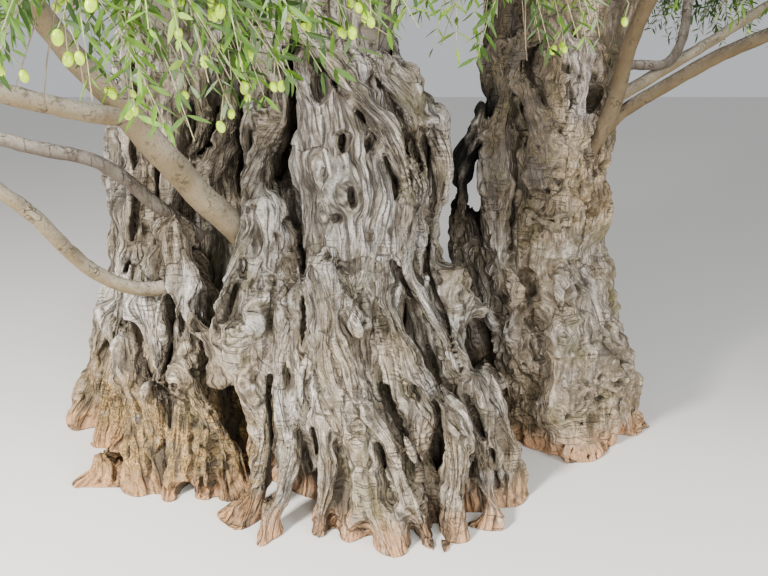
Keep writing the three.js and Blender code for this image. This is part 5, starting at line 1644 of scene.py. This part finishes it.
def leaf_mesh(outline, feet, aims, flats, lengths):
    shape, shape_faces = outline
    sides = np.cross(aims, flats)
    widths = lengths * (LEAF_WIDTH / LEAF_LENGTH) / 2
    corners = feet[:, None] + aims[:, None] * (shape[:, 0] * lengths[:, None])[..., None]
    corners += sides[:, None] * (shape[:, 1] * widths[:, None])[..., None]
    corners += flats[:, None] * (shape[:, 2] * LEAF_FOLD)[None, :, None]
    faces = shape_faces[None] + (np.arange(len(feet)) * len(shape))[:, None, None]
    return corners.reshape(-1, 3), faces.reshape(-1, 3)


def twig_mesh(start, middle, end, root_radius, tip_radius, steps):
    """Thin three-sided twigs along bent lines, closed at their tips."""
    shares = np.linspace(0, 1, steps + 1)
    rings = []
    for share in shares:
        here = bend(start, middle, end, np.full(len(start), share))
        ahead = bend(start, middle, end, np.full(len(start), share + 0.02))
        along = unit(ahead - here)
        side = unit(np.cross(along, UP) + 1e-4)
        over = np.cross(side, along)
        radius = root_radius + (tip_radius - root_radius) * share
        angles = (np.arange(3) * 2 * math.pi / 3)[None, :, None]
        offsets = side[:, None] * np.cos(angles) + over[:, None] * np.sin(angles)
        rings.append(here[:, None] + offsets * radius)
    corners = np.stack(rings, axis=1).reshape(len(start), -1, 3)
    faces = []
    for step in range(steps):
        for k in range(3):
            a, b = step * 3 + k, step * 3 + (k + 1) % 3
            faces += [(a, b, b + 3), (a, b + 3, a + 3)]
    faces += [(0, 2, 1), (steps * 3, steps * 3 + 1, steps * 3 + 2)]
    faces = np.array(faces)[None] + (np.arange(len(start)) * corners.shape[1])[:, None, None]
    return corners.reshape(-1, 3), faces.reshape(-1, 3)


def joined(parts):
    corners, faces, first = [], [], 0
    for part_corners, part_faces in parts:
        corners.append(part_corners)
        faces.append(part_faces + first)
        first += len(part_corners)
    return np.concatenate(corners), np.concatenate(faces)


LEAF_TONES = {
    "leaves_deep": (0.032, 0.074, 0.01),
    "leaves_mid": (0.058, 0.125, 0.015),
    "leaves_fresh": (0.105, 0.22, 0.017),
    "leaves_pale": (0.2, 0.32, 0.045),
    "leaves_silver": (0.2, 0.28, 0.15),
    "leaves_dull": (0.078, 0.125, 0.048),
}
TONE_SHARES = (0.17, 0.27, 0.25, 0.12, 0.1, 0.09)
LEATHERY = (0.5, 40.0, 0.72, 0.3, 0.3)  # a leaf's roughness, dapples and gloss


def stem_parts(mass):
    """The stem from the limb's tip into the mass, tapering."""
    start = mass.tip - mass.towards * STEM_SINK
    end = mass.middle + mass.towards * STEM_OVERSHOOT
    middle = (start + end) / 2
    return [part[None] for part in (start, middle, end)]


def olive_growth(finish):
    """Puts an olive on each point, hanging, each turned and sized a little differently."""
    g = Growth("olives", "Points", {"Length": OLIVE_LENGTH, "Width": OLIVE_WIDTH}, "Olives")
    ball = g.add("GeometryNodeMeshUVSphere", values={"Segments": 10, "Rings": 7, "Radius": 0.5})[0]
    length, width = g.inputs["Length"], g.inputs["Width"]
    shape = g.add("ShaderNodeCombineXYZ", values={0: width, 1: width, 2: length})[0]
    olive = g.add("GeometryNodeTransform", values={"Geometry": ball, "Scale": shape})[0]
    tilt = {0: (-OLIVE_TILT, -OLIVE_TILT, 0.0), 1: (OLIVE_TILT, OLIVE_TILT, 6.28), "Seed": 4}
    tilt = g.add("FunctionNodeRandomValue", {"data_type": "FLOAT_VECTOR"}, tilt)[0]
    size = g.add("FunctionNodeRandomValue", {"data_type": "FLOAT"}, {2: 0.8, 3: 1.1, "Seed": 9})[1]
    spread = {"Points": g.inputs["Points"], "Instance": olive, "Rotation": tilt, "Scale": size}
    return g.finish(g.add("GeometryNodeInstanceOnPoints", values=spread)[0], finish)


def hang_olives(shoots, mass, rng):
    """Stalks under the shoots of a mass, and the middle of the olive at the end of each."""
    root, middle, tip = shoots
    chosen = rng.choice(len(root), min(mass.olives, len(root)), replace=False)
    foot = bend(root[chosen], middle[chosen], tip[chosen], rng.uniform(*OLIVE_FEET, len(chosen)))
    foot = np.repeat(foot, rng.integers(1, 4, len(foot)), axis=0)
    long = rng.random((len(foot), 1)) < LONG_STALKS
    drop = np.where(long, LONG_STALK, SHORT_STALK) * rng.uniform(*STALK_SIZES, (len(foot), 1))
    end = foot - UP * drop + rng.normal(0, OLIVE_WIDTH * OLIVE_SPREAD, (len(foot), 3)) * (1, 1, 0)
    olive = end - UP * OLIVE_LENGTH * OLIVE_HANG
    bottom = olive - UP * OLIVE_LENGTH / 2
    kept = in_own_space(bottom, mass) & in_own_space(foot, mass) & clear_of_limbs(olive)
    return foot[kept], (foot[kept] + end[kept]) / 2, end[kept], olive[kept]


def grow_crown():
    rng = np.random.default_rng(SEED)
    tones = list(LEAF_TONES)
    leaf_parts = {tone: [] for tone in tones}
    twig_parts, stalk_parts, olives = [], [], []
    for mass in MASSES:
        hanging = "hanging" in mass.name
        droop = FRINGE_DROOP if hanging else DROOP
        near = mass.name in LOW_MASSES
        outline = NEAR_LEAF if near else FAR_LEAF
        twigs = grow_twigs(mass, rng)
        inside = in_own_space(twigs[2], mass)
        twigs = [points[inside] for points in twigs]
        shoots = grow_shoots(twigs, droop, rng)
        kept = in_own_space(shoots[0], mass) & in_own_space(shoots[2], mass) & clear_of_limbs(shoots[1])
        shoots = [points[kept] for points in shoots]
        feet, aims, flats, lengths, sprays = leaves_on(shoots, mass, rng)
        lengths = lengths * (1.0 if near else FAR_LEAF_SIZE)
        tone_of = rng.choice(len(tones), len(shoots[0]), p=TONE_SHARES)[sprays]
        for number, tone in enumerate(tones):
            chosen = tone_of == number
            leaves = (values[chosen] for values in (feet, aims, flats, lengths))
            leaf_parts[tone].append(leaf_mesh(outline, *leaves))
        twig_parts.append(twig_mesh(*stem_parts(mass), STEM_RADIUS, STEM_RADIUS * STEM_TAPER, 6))
        twig_radius = FRINGE_TWIG_RADIUS if hanging else TWIG_RADIUS
        twig_parts.append(twig_mesh(*twigs, twig_radius, twig_radius * TWIG_TAPER, 5))
        stalk_parts.append(twig_mesh(*shoots, SHOOT_RADIUS, SHOOT_RADIUS * SHOOT_TAPER, 3))
        foot, middle, end, olive = hang_olives(shoots, mass, rng)
        stalk_parts.append(twig_mesh(foot, middle, end, *STALK_RADII, 1))
        olives.append(olive)
    names = [mass.name for mass in MASSES]
    for tone, parts in leaf_parts.items():
        finish = dappled_finish(tone.replace("_", " "), LEAF_TONES[tone], *LEATHERY)
        mesh_piece(tone, *joined(parts), finish, "foliage", names)
    finish = dappled_finish("twig bark", (0.23, 0.18, 0.12), 0.8)
    mesh_piece("twigs", *joined(twig_parts), finish, "foliage", names)
    finish = dappled_finish("shoot skin", (0.4, 0.4, 0.2), 0.6)
    mesh_piece("shoots", *joined(stalk_parts), finish, "foliage", names)
    points = bpy.data.meshes.new("olive points")
    points.from_pydata([tuple(point) for point in np.concatenate(olives)], [], [])
    finish = dappled_finish("olive skin", (0.45, 0.66, 0.015), 0.35)
    fruit = grown_piece("olives", points, olive_growth(finish))
    settle(fruit, names)


grow_crown()


# Floor, light and camera

EYE = (0.13, -2.95, 1.6)
LOOK_DOWN = 18.04
SENSOR_WIDTH = 36
FOCAL_LENGTH = SENSOR_WIDTH * 700 / 768
FLOOR_REACH = 30
FLOOR_TINT, SKY_TINT, SKY_STRENGTH = (0.72, 0.7, 0.67), (0.95, 0.97, 1.0), 0.6
WARM, COOL = (1.0, 0.97, 0.92), (0.94, 0.97, 1.0)
# Soft lights: place, what each is aimed at, size, power and tint
LIGHTS = {
    "key": ((-3.3, -4.1, 3.3), (0, -0.3, 0.8), 1.1, 960, WARM),
    "under the crown": ((-0.9, -2.3, 2.9), (0, -0.3, 0.9), 0.7, 90, WARM),
    "front": ((0.8, -3.4, 1.3), (0.35, -0.3, 0.8), 1.2, 65, WARM),
    "fill": ((4.2, -3.6, 2.4), (0.3, 0, 0.8), 2.4, 270, COOL),
}


def stage_floor():
    mesh = bpy.data.meshes.new("floor")
    corners = [(x * FLOOR_REACH, y * FLOOR_REACH, 0) for x, y in ((-1, -1), (1, -1), (1, 1), (-1, 1))]
    mesh.from_pydata(corners, [], [(0, 1, 2, 3)])
    f = Finish("pale floor")
    mesh.materials.append(f.finish(Base_Color=colour(*FLOOR_TINT), Roughness=0.9))
    floor = bpy.data.objects.new("floor", mesh)
    bpy.context.scene.collection.objects.link(floor)
    floor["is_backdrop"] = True


def soft_light(name, place, aim, size, power, tone):
    lamp = bpy.data.lights.new(name, "AREA")
    lamp.shape = "DISK"
    lamp.size = size
    lamp.energy = power
    lamp.color = tone
    light = bpy.data.objects.new(name, lamp)
    light.visible_camera = False
    light.location = place
    light.rotation_euler = (Vector(aim) - Vector(place)).to_track_quat("-Z", "Y").to_euler()
    bpy.context.scene.collection.objects.link(light)


def studio():
    stage_floor()
    world = bpy.data.worlds.new("studio")
    world.use_nodes = True
    background = world.node_tree.nodes["Background"]
    background.inputs["Color"].default_value = colour(*SKY_TINT)
    background.inputs["Strength"].default_value = SKY_STRENGTH
    bpy.context.scene.world = world
    for name, settings in LIGHTS.items():
        soft_light(name, *settings)
    camera = bpy.data.objects.new("camera", bpy.data.cameras.new("camera"))
    camera.location = EYE
    camera.rotation_euler = (math.radians(90 - LOOK_DOWN), 0, 0)
    camera.data.sensor_width = SENSOR_WIDTH
    camera.data.lens = FOCAL_LENGTH
    bpy.context.scene.collection.objects.link(camera)
    bpy.context.scene.camera = camera


studio()
